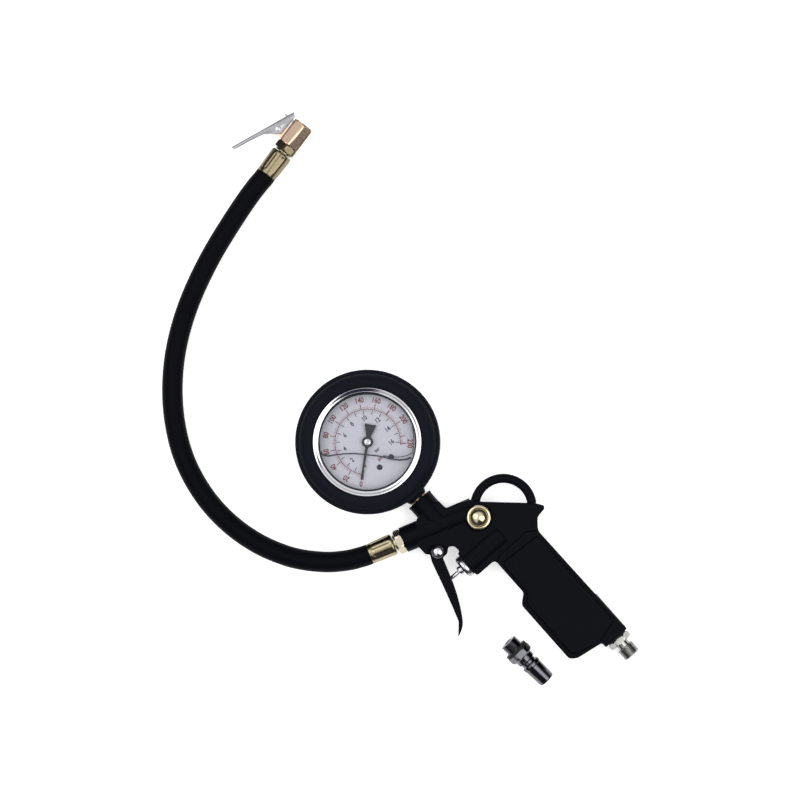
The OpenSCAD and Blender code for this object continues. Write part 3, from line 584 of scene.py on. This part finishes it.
# ---------------- trigger and its pin
# A zinc die-cast lever forked over the head's lug, with a web down its back and a curled tip.
# It swings on a chromed rivet, domed on the dial side, and carries the body's black paint.
trigger_front = smooth_path([(-59.4, 20, 0), (-62.2, 14, 0), (-66.6, -1, 0), (-71.3, -16, 0),
                             (-75.6, -28.4, 0), (-82.6, -35.8, 0)], 6)
trigger_rear = smooth_path([(-82.3, -36.3, 0), (-75.2, -32.2, 0), (-68.9, -23, 0),
                            (-62.5, -9.9, 0), (-57.6, 3.3, 0), (-54.6, 12, 0)], 6)
ear = [(-54 + 5.4 * math.cos(math.radians(a)), 17.8 + 5.4 * math.sin(math.radians(a)))
       for a in range(-92, 158, 10)]
blade = [tuple(p[:2]) for p in trigger_front] + [tuple(p[:2]) for p in trigger_rear] + ear
web = [(-62.2, 12.4), (-66.6, -1), (-71.3, -16), (-75.6, -28.4), (-82.6, -35.8), (-77, -33.4),
       (-70.6, -26), (-67.9, -15.7), (-63.9, -1.5), (-59.9, 12.4)]
tip = [tuple(p[:2]) for p in trigger_front if p[1] < -23] + [
    tuple(p[:2]) for p in trigger_rear if p[1] < -21]
trigger = cast("trigger", [
    slab(blade, MID - 8.4, MID - 5.35), slab(blade, MID + 5.35, MID + 8.4),
    slab(web, MID - 7, MID + 7), slab(tip, MID - 8.0, MID + 8.0)], 0.35 * MM, 5)
cut(trigger, [rod(gun_point(-54, 17.8, 0), (0, 0, 1), 2.45, 2.45, 30),
              slab([(-60.5, 8), (-64, 26), (-40, 30), (-40, 8)], MID - 5.2, MID + 5.2)])
finished(trigger, satin_black, "trigger", 50)
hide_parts("trigger")

bright_chrome = plated("bright_chrome", (0.58, 0.58, 0.61), (0.66, 0.66, 0.69), 0.12, 0.05)
dome = [(6.0 * math.sin(math.radians(a)), 17.68 + 6.0 * math.cos(math.radians(a)))
        for a in range(46, 0, -4)] + [(0, 23.65)]
pin_rows = [(0, 2.0), (3.3, 2.0), (3.9, 2.3), (4.0, 2.8), (4.0, 3.75), (2.4, 3.8), (2.4, 20.95),
            (3.9, 21.0), (4.3, 21.05)] + dome
trigger_pin = joined("trigger_pin", *turned(pin_rows[:-1] + [(0, 23.65)],
                                            gun_point(-54, 17.8, 0), (0, 0, 1)),
                     "pin_chrome", bright_chrome, crease=40)
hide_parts("trigger_pin")


# ---------------- trigger valve
# A steel gland screwed into the front boss on a rubber washer, with a turned collar and a small
# nose. The ground stem slides in it and pushes a poppet and its spring inside the casting.
turned_steel = plated("turned_steel", (0.42, 0.42, 0.44), (0.58, 0.58, 0.60), 0.24, 0.3, 500,
                      (1, 0.25, 0.25))
gland_rows = [(1.55, -52.4), (2.5, -52.4), (3.1, -52.1), (3.3, -51.6), (3.3, -50.2), (2.9, -50.0),
              (2.9, -49.5), (3.6, -49.25), (7.3, -49.2), (7.7, -48.9), (8.3, -48.2), (8.5, -47.8),
              (8.5, -46.3), (8.2, -45.6), (8.2, -45.5), (6.6, -45.5), (6.6, -44.4)]
gland_rows += screw(6.6, -44.2, -34.2, depth=0.55)
gland_rows += [(6.0, -33.5), (3.6, -33.5), (3.6, -38), (1.55, -38)]
valve_gland = joined("valve_gland", *turned(gland_rows, gun_point(0, VALVE_Y), valve_way),
                     "gland_steel", turned_steel)
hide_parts("valve_gland")
stem_rows = [(0, -63.2), (0.7, -63.2), (1.2, -62.9), (1.5, -62.2), (1.5, -53.6), (1.35, -53.4),
             (1.35, -53.0), (1.5, -52.8), (1.5, -11.0), (0, -11.0)]
valve_stem = joined("valve_stem", *turned(stem_rows, gun_point(0, VALVE_Y), valve_way, 48),
                    "gland_steel", turned_steel, "valve")
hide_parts("valve_stem")


# ---------------- bleed valve
# A yellow-plated brass ring screwed into the boss on the barrel. It holds in a domed button of
# the same finish, which a small spring lifts; pressing it lets air out of the tyre.
gold_plate = plated("gold_plate", (0.52, 0.45, 0.28), (0.64, 0.57, 0.40), 0.18, 0.08)
ring_rows = [(7.1, 15.5)] + screw(7.8, 15.6, 21.6, 1.0, 0.4) + [
    (7.5, 21.85), (8.45, 21.9), (8.7, 22.1), (8.75, 22.5), (8.65, 23.3), (8.3, 23.95), (7.9, 24.2),
    (7.0, 24.25), (6.75, 24.1), (6.55, 23.7), (6.55, 22.6), (7.1, 22.6)]
bleed_at = gun_point(-16.4, 16.9, 0)
bleed_ring = joined("bleed_ring", *turned(ring_rows, bleed_at, (0, 0, 1)), "button_gold",
                    gold_plate)
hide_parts("bleed_ring")
cap = [(6.4, 22.5), (6.4, 23.9)] + [
    (8.6 * math.sin(math.radians(a)), 18.25 + 8.6 * math.cos(math.radians(a)))
    for a in range(48, 0, -4)] + [(0, 26.85)]
button_rows = [(0, 10.9), (1.3, 10.9), (1.3, 21.5), (6.7, 21.5), (6.9, 21.7), (6.9, 22.45)] + cap
bleed_button = joined("bleed_button", *turned(button_rows, bleed_at, (0, 0, 1)), "button_gold",
                      gold_plate, "bleed", 40)
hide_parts("bleed_button")


# ---------------- air inlet
# A nickel-plated nipple at the foot of the grip: a hexagon, a short neck and a G1/4 thread for
# the air line, on a thin rubber washer.
nickel = plated("nickel_plate", (0.27, 0.27, 0.26), (0.38, 0.38, 0.36), 0.20, 0.15)
nut15 = hexagon(15.0)
inlet_rows = [(3, 98.6), (5.8, 98.6)] + screw(6.58, 98.9, 109.0) + [
    (5.9, 109.6), (5.9, 110.98), (7.2, 111.0), (7.5, 111.05, nut15), (8.1, 111.4, nut15),
    (8.66, 111.9, nut15), (8.66, 114.5, nut15), (8.1, 115.0, nut15), (7.5, 115.35, nut15),
    (7.1, 115.4), (4.7, 115.5), (4.6, 115.8), (4.6, 118.4), (5.6, 118.6)]
inlet_rows += screw(6.58, 118.9, 126.3, depth=0.68) + [(5.8, 126.7), (5.3, 127.0), (3.4, 127.0),
                                                       (3.0, 126.6)]
inlet_nipple = joined("inlet_nipple", *turned(inlet_rows, gun_point(0, 0), inlet_way, 120),
                      "nickel", nickel)
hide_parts("inlet_nipple")


# ---------------- rubber boot
# A moulded rubber cup round the gauge, with a bevelled rim, a lip that folds in over the bezel
# and a short neck round the stem. Matt, slightly blue black, with a faint moulding line.
DIAL_AT = gun_point(-39.5, 108, 0)
boot_rubber = material("boot_rubber")
skin_grain, dust = boot_rubber.noise(1100, 3, 0.6), boot_rubber.noise(35, 4, 0.6)
boot_rubber.set(
    Base_Color=boot_rubber.mix(dust, (0.0052, 0.0060, 0.0104), (0.0074, 0.0086, 0.0144)),
    Roughness=0.58 + 0.14 * (dust - 0.5), Normal=boot_rubber.bump(skin_grain, 0.3, 0.00006))
boot_rubber.shader.inputs["Specular IOR Level"].default_value = 0.055
boot_rows = [
    (0, 0.3), (45.6, 0.3), (46.2, 0), (48.2, 0), (49.2, 0.4), (50.1, 1.2), (50.55, 2.4),
    (50.6, 4), (50.6, 15.9), (50.4, 16.15), (50.6, 16.4), (50.6, 30.6), (50.4, 31.5),
    (49.9, 32.0), (49.2, 32.2), (48.5, 32.4), (48.0, 32.9), (47.6, 34.4), (46.9, 35.9),
    (46.0, 36.9), (45.0, 37.7), (43.8, 38.25), (42.4, 38.45), (41.2, 38.5), (39.6, 38.4),
    (38.6, 38.1), (37.95, 37.6), (37.7, 36.9), (37.7, 36.3),
    (38.0, 36.2), (42.7, 36.2), (42.7, 29.3), (40.2, 29.3), (40.2, 2), (0, 2)]
boot = merged("gauge_boot", [turned(boot_rows, DIAL_AT, (0, 0, 1), 192)])
cut(boot, [turned([(0, 0), (6.9, 0), (7.1, 0.5), (9.3, 5.5), (9.3, 8.5), (0, 8.5)],
                  gun_point(-39.5, 55.3), stem_way)], "UNION")
cut(boot, [rod(gun_point(-39.5, 52), stem_way, 6.45, 6.45, 17.5)])
finished(boot, boot_rubber, crease=28)
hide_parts("gauge_boot")


# ---------------- bezel and window
# A pressed stainless ring, polished, rolls over the case's rim and holds the clear window. Its
# face slopes down to the window in two steps, and the window is a flat acrylic disc.
bezel_rows = [
    (40.1, 29.4), (42.4, 29.4), (42.5, 29.6), (42.5, 35.0), (42.3, 35.7), (41.6, 36.05),
    (40.6, 36.1), (38.4, 36.1), (37.6, 36.05), (36.9, 35.85), (36.2, 35.5), (35.6, 35.15),
    (35.3, 35.08), (35.0, 35.05), (34.5, 34.85), (33.9, 34.45), (33.45, 34.1), (33.2, 33.8),
    (33.2, 33.42), (33.5, 33.4), (40.1, 33.4)]
bezel_ring = joined("bezel_ring", *turned(bezel_rows, DIAL_AT, (0, 0, 1), 192), "bezel_chrome",
                    bright_chrome, crease=24)
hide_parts("bezel_ring")
clear = material("clear_acrylic")
smear_and_reflection = clear.noise(30, 4)
# The window's whitish veil, patchy at random, is painted reflection; the same patches also vary
# its gloss.
clear.set(Base_Color=clear.mix(smear_and_reflection, (0.5, 0.5, 0.56), (0.7, 0.7, 0.75)),
          Roughness=0.03 + 0.03 * smear_and_reflection, Alpha=0.04)
window = joined("window", *turned([(0, 31.3), (39.7, 31.3), (40, 31.6), (40, 33.05), (39.7, 33.35),
                                   (0, 33.35)], DIAL_AT, (0, 0, 1), 128), "window_clear", clear)
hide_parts("window")


# ---------------- dial
# A stamped aluminium plate in satin white, printed in red for psi and in black for bar. Arcs,
# ticks and figures are a thin layer of ink; two black screws hold the plate to its legs.
dial_white = material("dial_white")
fine = dial_white.noise(400, 2)
dial_white.set(Base_Color=dial_white.mix(fine, (0.50, 0.50, 0.56), (0.56, 0.56, 0.62)),
               Roughness=0.42 + 0.1 * fine)
dial_rows = [(1.8, 25.2), (36.1, 25.2), (36.2, 25.3), (36.2, 25.9), (36.1, 26.0), (1.8, 26.0)]
dial = joined("dial_plate", *turned(dial_rows, DIAL_AT, (0, 0, 1), 144), "dial_paint", dial_white)
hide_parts("dial_plate")
ZERO, PER_PSI, PER_BAR = 221.0, 1.150, 16.45
INK_LOW, INK_HIGH = 26.01, 26.06


def arc_band(r_in, r_out, start, stop, steps=90):
    """A printed arc between two angles in degrees."""
    angles = [math.radians(start + (stop - start) * i / steps) for i in range(steps + 1)]
    outline = [(r_out * math.cos(a), r_out * math.sin(a)) for a in angles] + \
              [(r_in * math.cos(a), r_in * math.sin(a)) for a in reversed(angles)]
    n = len(angles)
    verts = [Vector((p[0], p[1], z)) + DIAL_AT for z in (INK_LOW, INK_HIGH) for p in outline]
    m = 2 * n
    faces = []
    for i in range(n - 1):
        j = m - 1 - i
        faces += [(i, i + 1, j - 1, j), (m + i, m + j, m + j - 1, m + i + 1)]
    faces += [(i, m + i, m + (i + 1) % m, (i + 1) % m) for i in range(m)]
    return verts, faces


def tick(angle, r_in, r_out, wide):
    a = math.radians(angle)
    c, s = math.cos(a), math.sin(a)
    corners = [(r, w) for r, w in ((r_in, -wide), (r_out, -wide), (r_out, wide), (r_in, wide))]
    return slab([(r * c - w * s, r * s + w * c) for r, w in corners], INK_LOW, INK_HIGH, DIAL_AT)


def figure(text, x, y, size, turn):
    """A printed figure, centred at x and y from the dial's middle and turned by an angle."""
    curve = bpy.data.curves.new("figure", "FONT")
    curve.body, curve.size, curve.extrude = text, size, (INK_HIGH - INK_LOW) / 2
    curve.align_x, curve.align_y, curve.offset = "CENTER", "CENTER", 0.032 * size
    curve.resolution_u = 3
    holder = bpy.data.objects.new("figure", curve)
    bpy.context.scene.collection.objects.link(holder)
    graph = bpy.context.evaluated_depsgraph_get()
    mesh = bpy.data.meshes.new_from_object(holder.evaluated_get(graph))
    spin = Matrix.Translation(DIAL_AT + Vector((x, y, (INK_LOW + INK_HIGH) / 2))) \
        @ Matrix.Rotation(turn, 4, "Z") @ Matrix.Diagonal((0.82, 1, 1, 1))
    verts = [spin @ v.co for v in mesh.vertices]
    faces = [tuple(p.vertices) for p in mesh.polygons]
    bpy.data.objects.remove(holder)
    return verts, faces


red_parts, black_parts = [arc_band(22.7, 23.1, ZERO + 1, ZERO - PER_PSI * 232)], []
for psi in range(0, 233, 2):
    bold = psi in (0, 180, 230)
    if psi % 20 == 0 or psi == 230:
        red_parts.append(tick(ZERO - PER_PSI * psi, 22.8, 26.8, 0.42 if bold else 0.28))
    else:
        red_parts.append(tick(ZERO - PER_PSI * psi, 22.9, 25.4 if psi % 10 == 0 else 24.7, 0.12))
for step in range(0, 81):
    whole = step % 5 == 0
    black_parts.append(tick(ZERO - PER_BAR * step / 5, 19.4 if whole else 21.0, 22.5,
                            0.27 if whole else 0.1))
for psi in list(range(0, 201, 20)) + [230]:
    at = math.radians(ZERO - PER_PSI * psi - (1.5 if psi == 0 else 0))
    red_parts.append(figure(str(psi), 29.5 * math.cos(at), 29.5 * math.sin(at), 5.2,
                            at - math.pi / 2))
for bar in range(0, 17, 2):
    at = math.radians(ZERO - PER_BAR * bar)
    black_parts.append(figure(str(bar), 16.6 * math.cos(at), 16.6 * math.sin(at), 4.6, 0))
UPRIGHT_TURN = 41.6
turn_back = Matrix.Rotation(math.radians(-UPRIGHT_TURN), 2)
for parts, text, x, y in ((black_parts, "bar", 6.5, -5.5), (red_parts, "psi", 8.5, -11.5)):
    spot = turn_back @ Vector((x, y))
    parts.append(figure(text, spot.x, spot.y, 3.6, 0))


def ink(name, colour_a, colour_b):
    made = material(name)
    fade = made.noise(300, 3)
    return made.set(Base_Color=made.mix(fade, colour_a, colour_b), Roughness=0.5 + 0.2 * fade)


red_ink = ink("red_ink", (0.13, 0.012, 0.022), (0.22, 0.03, 0.045))
black_ink = ink("black_ink", (0.012, 0.012, 0.018), (0.035, 0.035, 0.05))
for name, parts, finish in (("dial_red_print", red_parts, red_ink),
                            ("dial_black_print", black_parts, black_ink)):
    finished(merged(name, parts), finish)
matt_black = material("black_finish")
scuff = matt_black.noise(200, 3)
matt_black.set(Base_Color=matt_black.mix(scuff, (0.006, 0.006, 0.008), (0.014, 0.014, 0.018)),
               Roughness=0.36 + 0.2 * scuff)
matt_black.shader.inputs["Specular IOR Level"].default_value = 0.08
screw_parts = []
for side in (-1, 1):
    at = DIAL_AT + Vector((5.4 * side, -18.8, 0))
    screw_parts.append(turned([(0, 22.2), (1, 22.2), (1, 26.02), (1.9, 26.02), (2.0, 26.3),
                               (1.9, 26.8), (1.5, 27.02), (0, 27.02)], at, (0, 0, 1), 48))
screws = merged("dial_screws", screw_parts)
for side in (-1, 1):
    cut(screws, [slab([(-3, -0.25), (3, -0.25), (3, 0.25), (-3, 0.25)], 26.5, 28,
                      DIAL_AT + Vector((5.4 * side, -18.8, 0)))])
finished(screws, matt_black)
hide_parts("dial_screws")


# ---------------- pointer
# A stamped needle in black with a flared tail, pressed on the pinion's arbor through a black
# hub; a bright cap closes the hub. It rests at zero and sweeps clockwise.
rest_way = math.radians(219)


def needle(points):
    c, s = math.cos(rest_way), math.sin(rest_way)
    return [(x * c - y * s, x * s + y * c) for x, y in points]


pointer_parts = [
    slab(needle([(0, 1.0), (26.4, 0.6), (26.9, 0.3), (26.9, -0.3), (26.4, -0.6), (0, -1.0)]),
         28.2, 28.75, DIAL_AT),
    slab(needle(rounded([(0, -1.05), (0, 1.05), (-3.4, 1.5), (-12.7, 4.3, 0.6), (-12.2, 0, 3),
                         (-12.7, -4.3, 0.6), (-3.4, -1.5)], 0.2)), 28.2, 28.75, DIAL_AT)]
pointer = merged("pointer", pointer_parts[:1])
cut(pointer, [pointer_parts[1], turned(
    [(0, 27.8), (3.7, 27.8), (3.9, 28.0), (3.9, 29.2), (3.6, 29.5), (0, 29.5)], DIAL_AT,
    (0, 0, 1), 72)], "UNION")
cut(pointer, [rod(DIAL_AT + Vector((0, 0, 27)), (0, 0, 1), 0.82, 0.82, 4)])
finished(pointer, matt_black, "pointer_shaft")
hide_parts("pointer")
pointer_cap = joined("pointer_cap", *turned(
    [(0, 29.52), (2.6, 29.52), (2.6, 29.8), (2.4, 30.1), (1.8, 30.28), (0, 30.32)],
    DIAL_AT, (0, 0, 1), 48), "pin_chrome", turned_steel, "pointer_shaft", 40)
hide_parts("pointer_cap")


# ---------------- glycerine fill
# The case is part filled with clear glycerine to damp the pointer. What shows is its surface, a
# dark wavy line across the dial that climbs a little at the case's wall, drawn here as dark tubes
# in painted shade. Above it a black crescent on the bezel's inner slope is painted shade too.
upright_line = [(-33.0, -6.6), (-31.5, -8.5), (-28, -9.7), (-24, -9.2), (-20, -8.7), (-14.5, -8.2),
                (-7, -8.2), (0, -9), (6, -9.5), (11, -10.5), (16, -11.7), (22, -12.5), (27, -12),
                (30.4, -10.9)]
far_line = [(11, -9.7), (18, -10.4), (23, -10.4), (27.5, -9.4), (30.6, -7.9), (31.9, -5.5),
            (32.4, 2), (32.0, 7), (31.4, 11)]
# Painted shade: the liquid's surface line is drawn as near-black tubes.
liquid_line_shade = material("glycerine_edge")
depth = liquid_line_shade.noise(90, 2)
liquid_line_shade.set(Base_Color=liquid_line_shade.mix(depth, (0.006, 0.006, 0.012), (0.03, 0.03, 0.05)),
                Roughness=0.15 + 0.1 * depth)
liquid_line_shade.shader.inputs["Specular IOR Level"].default_value = 0.1


def liquid_line(name, points, thick):
    """A tube along points that are given with the gauge upright, thicker at its ends."""
    line = [DIAL_AT + Vector((*(turn_back @ Vector(p[:2])), 30.5))
            for p in smooth_path([(*q, 0) for q in points], 6)]
    last = len(line) - 1
    radius = [thick * (1 + 0.5 * abs(2 * i / last - 1) ** 3) for i in range(last + 1)]
    return joined(name, *tube(line, radius, 12), "window_clear", liquid_line_shade, crease=60)


liquid_line("glycerine_line", upright_line, 0.48)
liquid_line("glycerine_far_line", far_line, 0.26)
# Painted shade: a black crescent laid on the bezel's inner slope, standing in for a dark band
# there.
CRESCENT_FROM, CRESCENT_SWEEP, CRESCENT_STEPS = 50, 140, 72
crescent_verts, crescent_faces = [], []
for i in range(CRESCENT_STEPS + 1):
    share = i / CRESCENT_STEPS
    way = math.radians(CRESCENT_FROM + CRESCENT_SWEEP * share - UPRIGHT_TURN)
    swell = math.sin(math.pi * share ** 0.75) ** 0.6
    outer = 33.3 + 1.5 * swell
    for r, z in ((33.16, 33.86), (outer, 34.2 + 0.9 * swell), (outer, 33.85 + 0.9 * swell),
                 (33.16, 33.6)):
        crescent_verts.append(DIAL_AT + Vector((r * math.cos(way), r * math.sin(way), z)))
for i in range(CRESCENT_STEPS):
    crescent_faces += [(4 * i + k, 4 * i + (k + 1) % 4, 4 * i + 4 + (k + 1) % 4, 4 * i + 4 + k)
                     for k in range(4)]
crescent_faces += [(3, 2, 1, 0), tuple(range(4 * CRESCENT_STEPS, 4 * CRESCENT_STEPS + 4))]
joined("window_gasket", crescent_verts, crescent_faces, "seal_rubber", matt_black)


# ---------------- clip-on chuck
# A copper-plated brass hexagon with an open mouth for the tyre's valve, a lug riveted through
# its side and a pressed steel lever whose claw grips the valve's thread.
COPPER_AF = 15.0
chuck_up = Vector((0, 0, 1))
chuck_copper = plated("chuck_copper", (0.68, 0.48, 0.34), (0.84, 0.63, 0.47), 0.24, 0.2)
chuck_nut = hexagon(COPPER_AF)
chuck_rows = [
    (5.0, 0.0), (6.9, 0.0), (7.5, 0.05, chuck_nut), (8.2, 0.45, chuck_nut), (8.66, 1.0, chuck_nut),
    (8.66, 17.0, chuck_nut), (8.2, 17.7, chuck_nut), (7.6, 18.45, chuck_nut), (7.1, 18.6),
    (4.6, 18.6), (4.2, 18.2), (4.2, 12.3), (4.0, 12.2), (4.0, 10.65), (5.4, 10.6), (5.4, 7.65),
    (2.2, 7.6), (2.2, 5.05), (4.7, 5.0), (4.7, 0.4)]
lever_across = chuck_up.cross(CHUCK_WAY).normalized()
chuck_roll = math.radians(7)
chuck_body = merged("chuck_body", [turned(
    chuck_rows, CHUCK_FOOT, CHUCK_WAY, 96,
    lever_across * math.cos(chuck_roll) + chuck_up * math.sin(chuck_roll))])


def chuck_point(along, out, z=0):
    """A point of the chuck: along its axis, out to the lever's side, and up from its middle."""
    return CHUCK_FOOT + CHUCK_WAY * along + lever_across * out + chuck_up * z


def chuck_slab(outline, low, high):
    n = len(outline)
    verts = [chuck_point(p[0], p[1], z) for z in (low, high) for p in outline]
    faces = [tuple(range(n - 1, -1, -1)), tuple(range(n, 2 * n))]
    faces += [(i, (i + 1) % n, n + (i + 1) % n, n + i) for i in range(n)]
    return verts, faces


LUG = rounded([(0.6, 7.0), (9.5, 7.0), (8.6, 10.2), (7.4, 12.9, 2.2), (5, 15.2, 2.2),
               (2.6, 12.9, 2.2), (1.4, 10.2)], 0.6)
cut(chuck_body, [chuck_slab(LUG, -1.6, 1.6)], "UNION")
cut(chuck_body, [
    chuck_slab([(14, 0), (20, 0), (20, 12), (14, 12)], -2.5, 2.5),
    rod(chuck_point(5, 12.6, -4), chuck_up, 1.3, 1.3, 8)])
finished(chuck_body, chuck_copper)
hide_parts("chuck_body")
lever_plate = plated("lever_plate", (0.27, 0.27, 0.28), (0.38, 0.38, 0.39), 0.28, 0.2)
cheek = rounded([(-25.2, 30.2), (-1.2, 19.6), (20.4, 10.6), (19.4, 9.0), (3.4, 9.0), (-0.6, 15.4),
                 (-4, 19.2), (-13, 23.8), (-25.2, 29.2)], 0.8)
strip = [(-25.4, 31.2), (-25.4, 30.2), (-1.2, 19.5), (20.9, 10.2), (20.9, 11.3), (-1.2, 20.6)]
claw = [(14.7, 13.4), (14.7, 5.2), (15.1, 4.5), (16.5, 4.5), (16.5, 12.6)]
tab = [(15.3, 13.0), (15.9, 15.8), (16.7, 15.6), (16.8, 12.4)]
lever = merged("chuck_lever", [chuck_slab(cheek, 4.0, 4.8)])
cut(lever, [chuck_slab(cheek, -4.8, -4.0), chuck_slab(strip, -4.8, 4.8),
            chuck_slab(claw, -2.2, 2.2), chuck_slab(tab, -1.5, 1.5)], "UNION")
cut(lever, [rod(chuck_point(5, 12.6, -7), chuck_up, 1.3, 1.3, 14)])
# The press bends the sheet round from the back to each cheek, so the waste outside that bend
# is cut off along the whole back.
back_from, back_to = Vector((-30.0, 33.2)), Vector((25.0, 9.55))
back_in = Vector((-(back_to - back_from).y, (back_to - back_from).x)).normalized() * -1
waste = [(-2, 6), (1.7, 6), (1.7, 4.82), (1.2, 4.76), (0.8, 4.6), (0.45, 4.3), (0.2, 3.9),
         (0.06, 3.4), (0.03, 2.9), (-2, 2.9)]
for flip in (1, -1):
    ends = [[chuck_point(*(end + back_in * d), flip * z) for d, z in waste]
            for end in (back_from, back_to)]
    n = len(waste)
    cut(lever, [(ends[0] + ends[1],
                 [tuple(range(n - 1, -1, -1)), tuple(range(n, 2 * n))]
                 + [(i, (i + 1) % n, n + (i + 1) % n, n + i) for i in range(n)])])
edge = lever.modifiers.new("edge", "BEVEL")
edge.width, edge.segments, edge.limit_method = 0.25 * MM, 2, "ANGLE"
applied(lever)
finished(lever, lever_plate, "lever")
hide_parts("chuck_lever")
rivet_rows = [(0, -5.65), (1.2, -5.65), (1.8, -5.4), (2.0, -5.0), (2.0, -4.86), (1.25, -4.85),
              (1.25, 4.85), (2.0, 4.86), (2.0, 5.0), (1.8, 5.4), (1.2, 5.65), (0, 5.65)]
chuck_pin = joined("chuck_pin", *turned(rivet_rows, chuck_point(5, 12.6), chuck_up, 48),
                   "gland_steel", turned_steel, crease=40)
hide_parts("chuck_pin")
[tuple(p * MM) for p in hose_line]


# ---------------- loose quick plug
# A spare plug for the air line, black-chromed steel, lying beside the grip: a G1/4 thread, a
# hexagon and a grooved tail with a bore through it.
plug_tilt = math.radians(5)
plug_flat = Vector((math.cos(math.radians(-86)), math.sin(math.radians(-86)), 0))
plug_way = plug_flat * math.cos(plug_tilt) - Vector((0, 0, math.sin(plug_tilt)))
plug_from = gun_point(-59.4, -62.1, 8.6 * math.cos(plug_tilt) + 9.55 * math.sin(plug_tilt))
black_chrome = plated("black_chrome", (0.07, 0.07, 0.08), (0.15, 0.15, 0.165), 0.15, 0.15)
plug_nut = hexagon(16.0)
plug_rows = [(3.2, 0.0), (5.8, 0.0)] + screw(6.58, 0.3, 7.2, depth=0.66) + [
    (5.9, 7.4), (5.9, 9.6), (7.7, 9.62, plug_nut), (8.6, 9.7, plug_nut), (9.0, 10.0, plug_nut),
    (9.0, 13.6, plug_nut), (8.4, 14.3, plug_nut), (7.6, 14.98, plug_nut), (6.8, 15.0), (6.7, 15.2),
    (6.7, 18.5), (5.6, 19.3), (5.4, 19.5), (5.4, 21.1), (5.6, 21.4), (6.8, 22.1), (6.9, 22.3),
    (6.9, 24.1), (6.5, 24.8), (6.4, 25.1), (6.05, 38.0), (5.7, 38.7), (5.2, 39.0), (3.4, 39.0),
    (3.0, 38.6), (3.0, 0.3)]
flat_down = plug_way.cross(Vector((plug_flat.y, -plug_flat.x, 0))).normalized()
quick_plug = joined("quick_plug", *turned(plug_rows, plug_from, plug_way, 120, start=flat_down),
                    "plug_black_chrome", black_chrome, "loose_plug")
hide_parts("quick_plug")


# ---------------- seals, springs and movement
# The small bought-in parts inside: moulded nitrile seals, spring-steel coils and the gauge's brass
# tube, links, gears and plates. Each keeps its own shape and takes its real finish, except the
# gauge's socket, whose brass is blacked out in patches as painted shade.
nitrile = material("nitrile_rubber")
bloom = nitrile.noise(260, 3)
nitrile.set(Base_Color=nitrile.mix(bloom, (0.010, 0.010, 0.012), (0.022, 0.022, 0.025)),
            Roughness=0.55 + 0.2 * bloom,
            Normal=nitrile.bump(nitrile.noise(1300, 2), 0.2, 0.00004))
nitrile.shader.inputs["Specular IOR Level"].default_value = 0.25
brass = plated("movement_brass", (0.55, 0.40, 0.16), (0.72, 0.56, 0.27), 0.26, 0.3)
# Painted shade: brass blacked out in patches, for the shade in the gap round the boot's neck.
shade_painted_brass = plated("oversprayed_brass", (0.012, 0.011, 0.010), (0.46, 0.36, 0.17), 0.30, 0.2)
shade_patches = shade_painted_brass.noise(190, 3)
shade_painted_brass.set(Base_Color=shade_painted_brass.ramp(shade_patches, (0.50, (0.010, 0.010, 0.011)),
                                            (0.60, (0.42, 0.33, 0.16))))
spring_steel = plated("spring_steel", (0.38, 0.37, 0.36), (0.54, 0.53, 0.52), 0.28, 0.25)
pressed_steel = plated("pressed_steel", (0.46, 0.46, 0.47), (0.60, 0.60, 0.61), 0.30, 0.2, 300,
                       (1, 1, 0.2))
for finish, names in (
        (nitrile, "gland_washer stem_seal poppet_seal bleed_seal inlet_washer fill_plug "
                  "window_seal chuck_seal quick_plug_washer"),
        (brass, "valve_seat valve_poppet bleed_seat bleed_poppet dial_legs "
                "bourdon_tube tube_tip tip_link movement_back_plate movement_front_plate "
                "movement_pillars sector_gear chuck_depressor"),
        (spring_steel, "valve_spring bleed_spring chuck_spring pinion hairspring"),
        (shade_painted_brass, "gauge_socket"), (pressed_steel, "gauge_case")):
    for name in names.split():
        node = bpy.data.objects[name]
        node.data.materials.clear()
        node.data.materials.append(finish.owner)

# The two coil springs that a press shortens, towards the valve's inner seat and towards the floor
# of the bleed valve, are drawn again from their own coils as copies that ride with the gun.
for name, joint, axis, seat, keep in (
        ("valve_spring", "valve_slide", (1, 0, 0), 1, 0.5),
        ("bleed_spring", "bleed_press", (0, 0, 1), 0, 0.5)):
    coil_mesh = bpy.data.objects[name].data.copy()
    coil = bpy.data.objects.new(f"{name}_coil", coil_mesh)
    bpy.context.scene.collection.objects.link(coil)
    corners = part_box(name)
    middle = [(a + b) / 2 for a, b in zip(*corners)]
    line = axis.index(1)
    middle[line] = corners[seat][line]
    finished(coil, spring_steel, crease=60)
    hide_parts(name)
    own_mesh(coil)
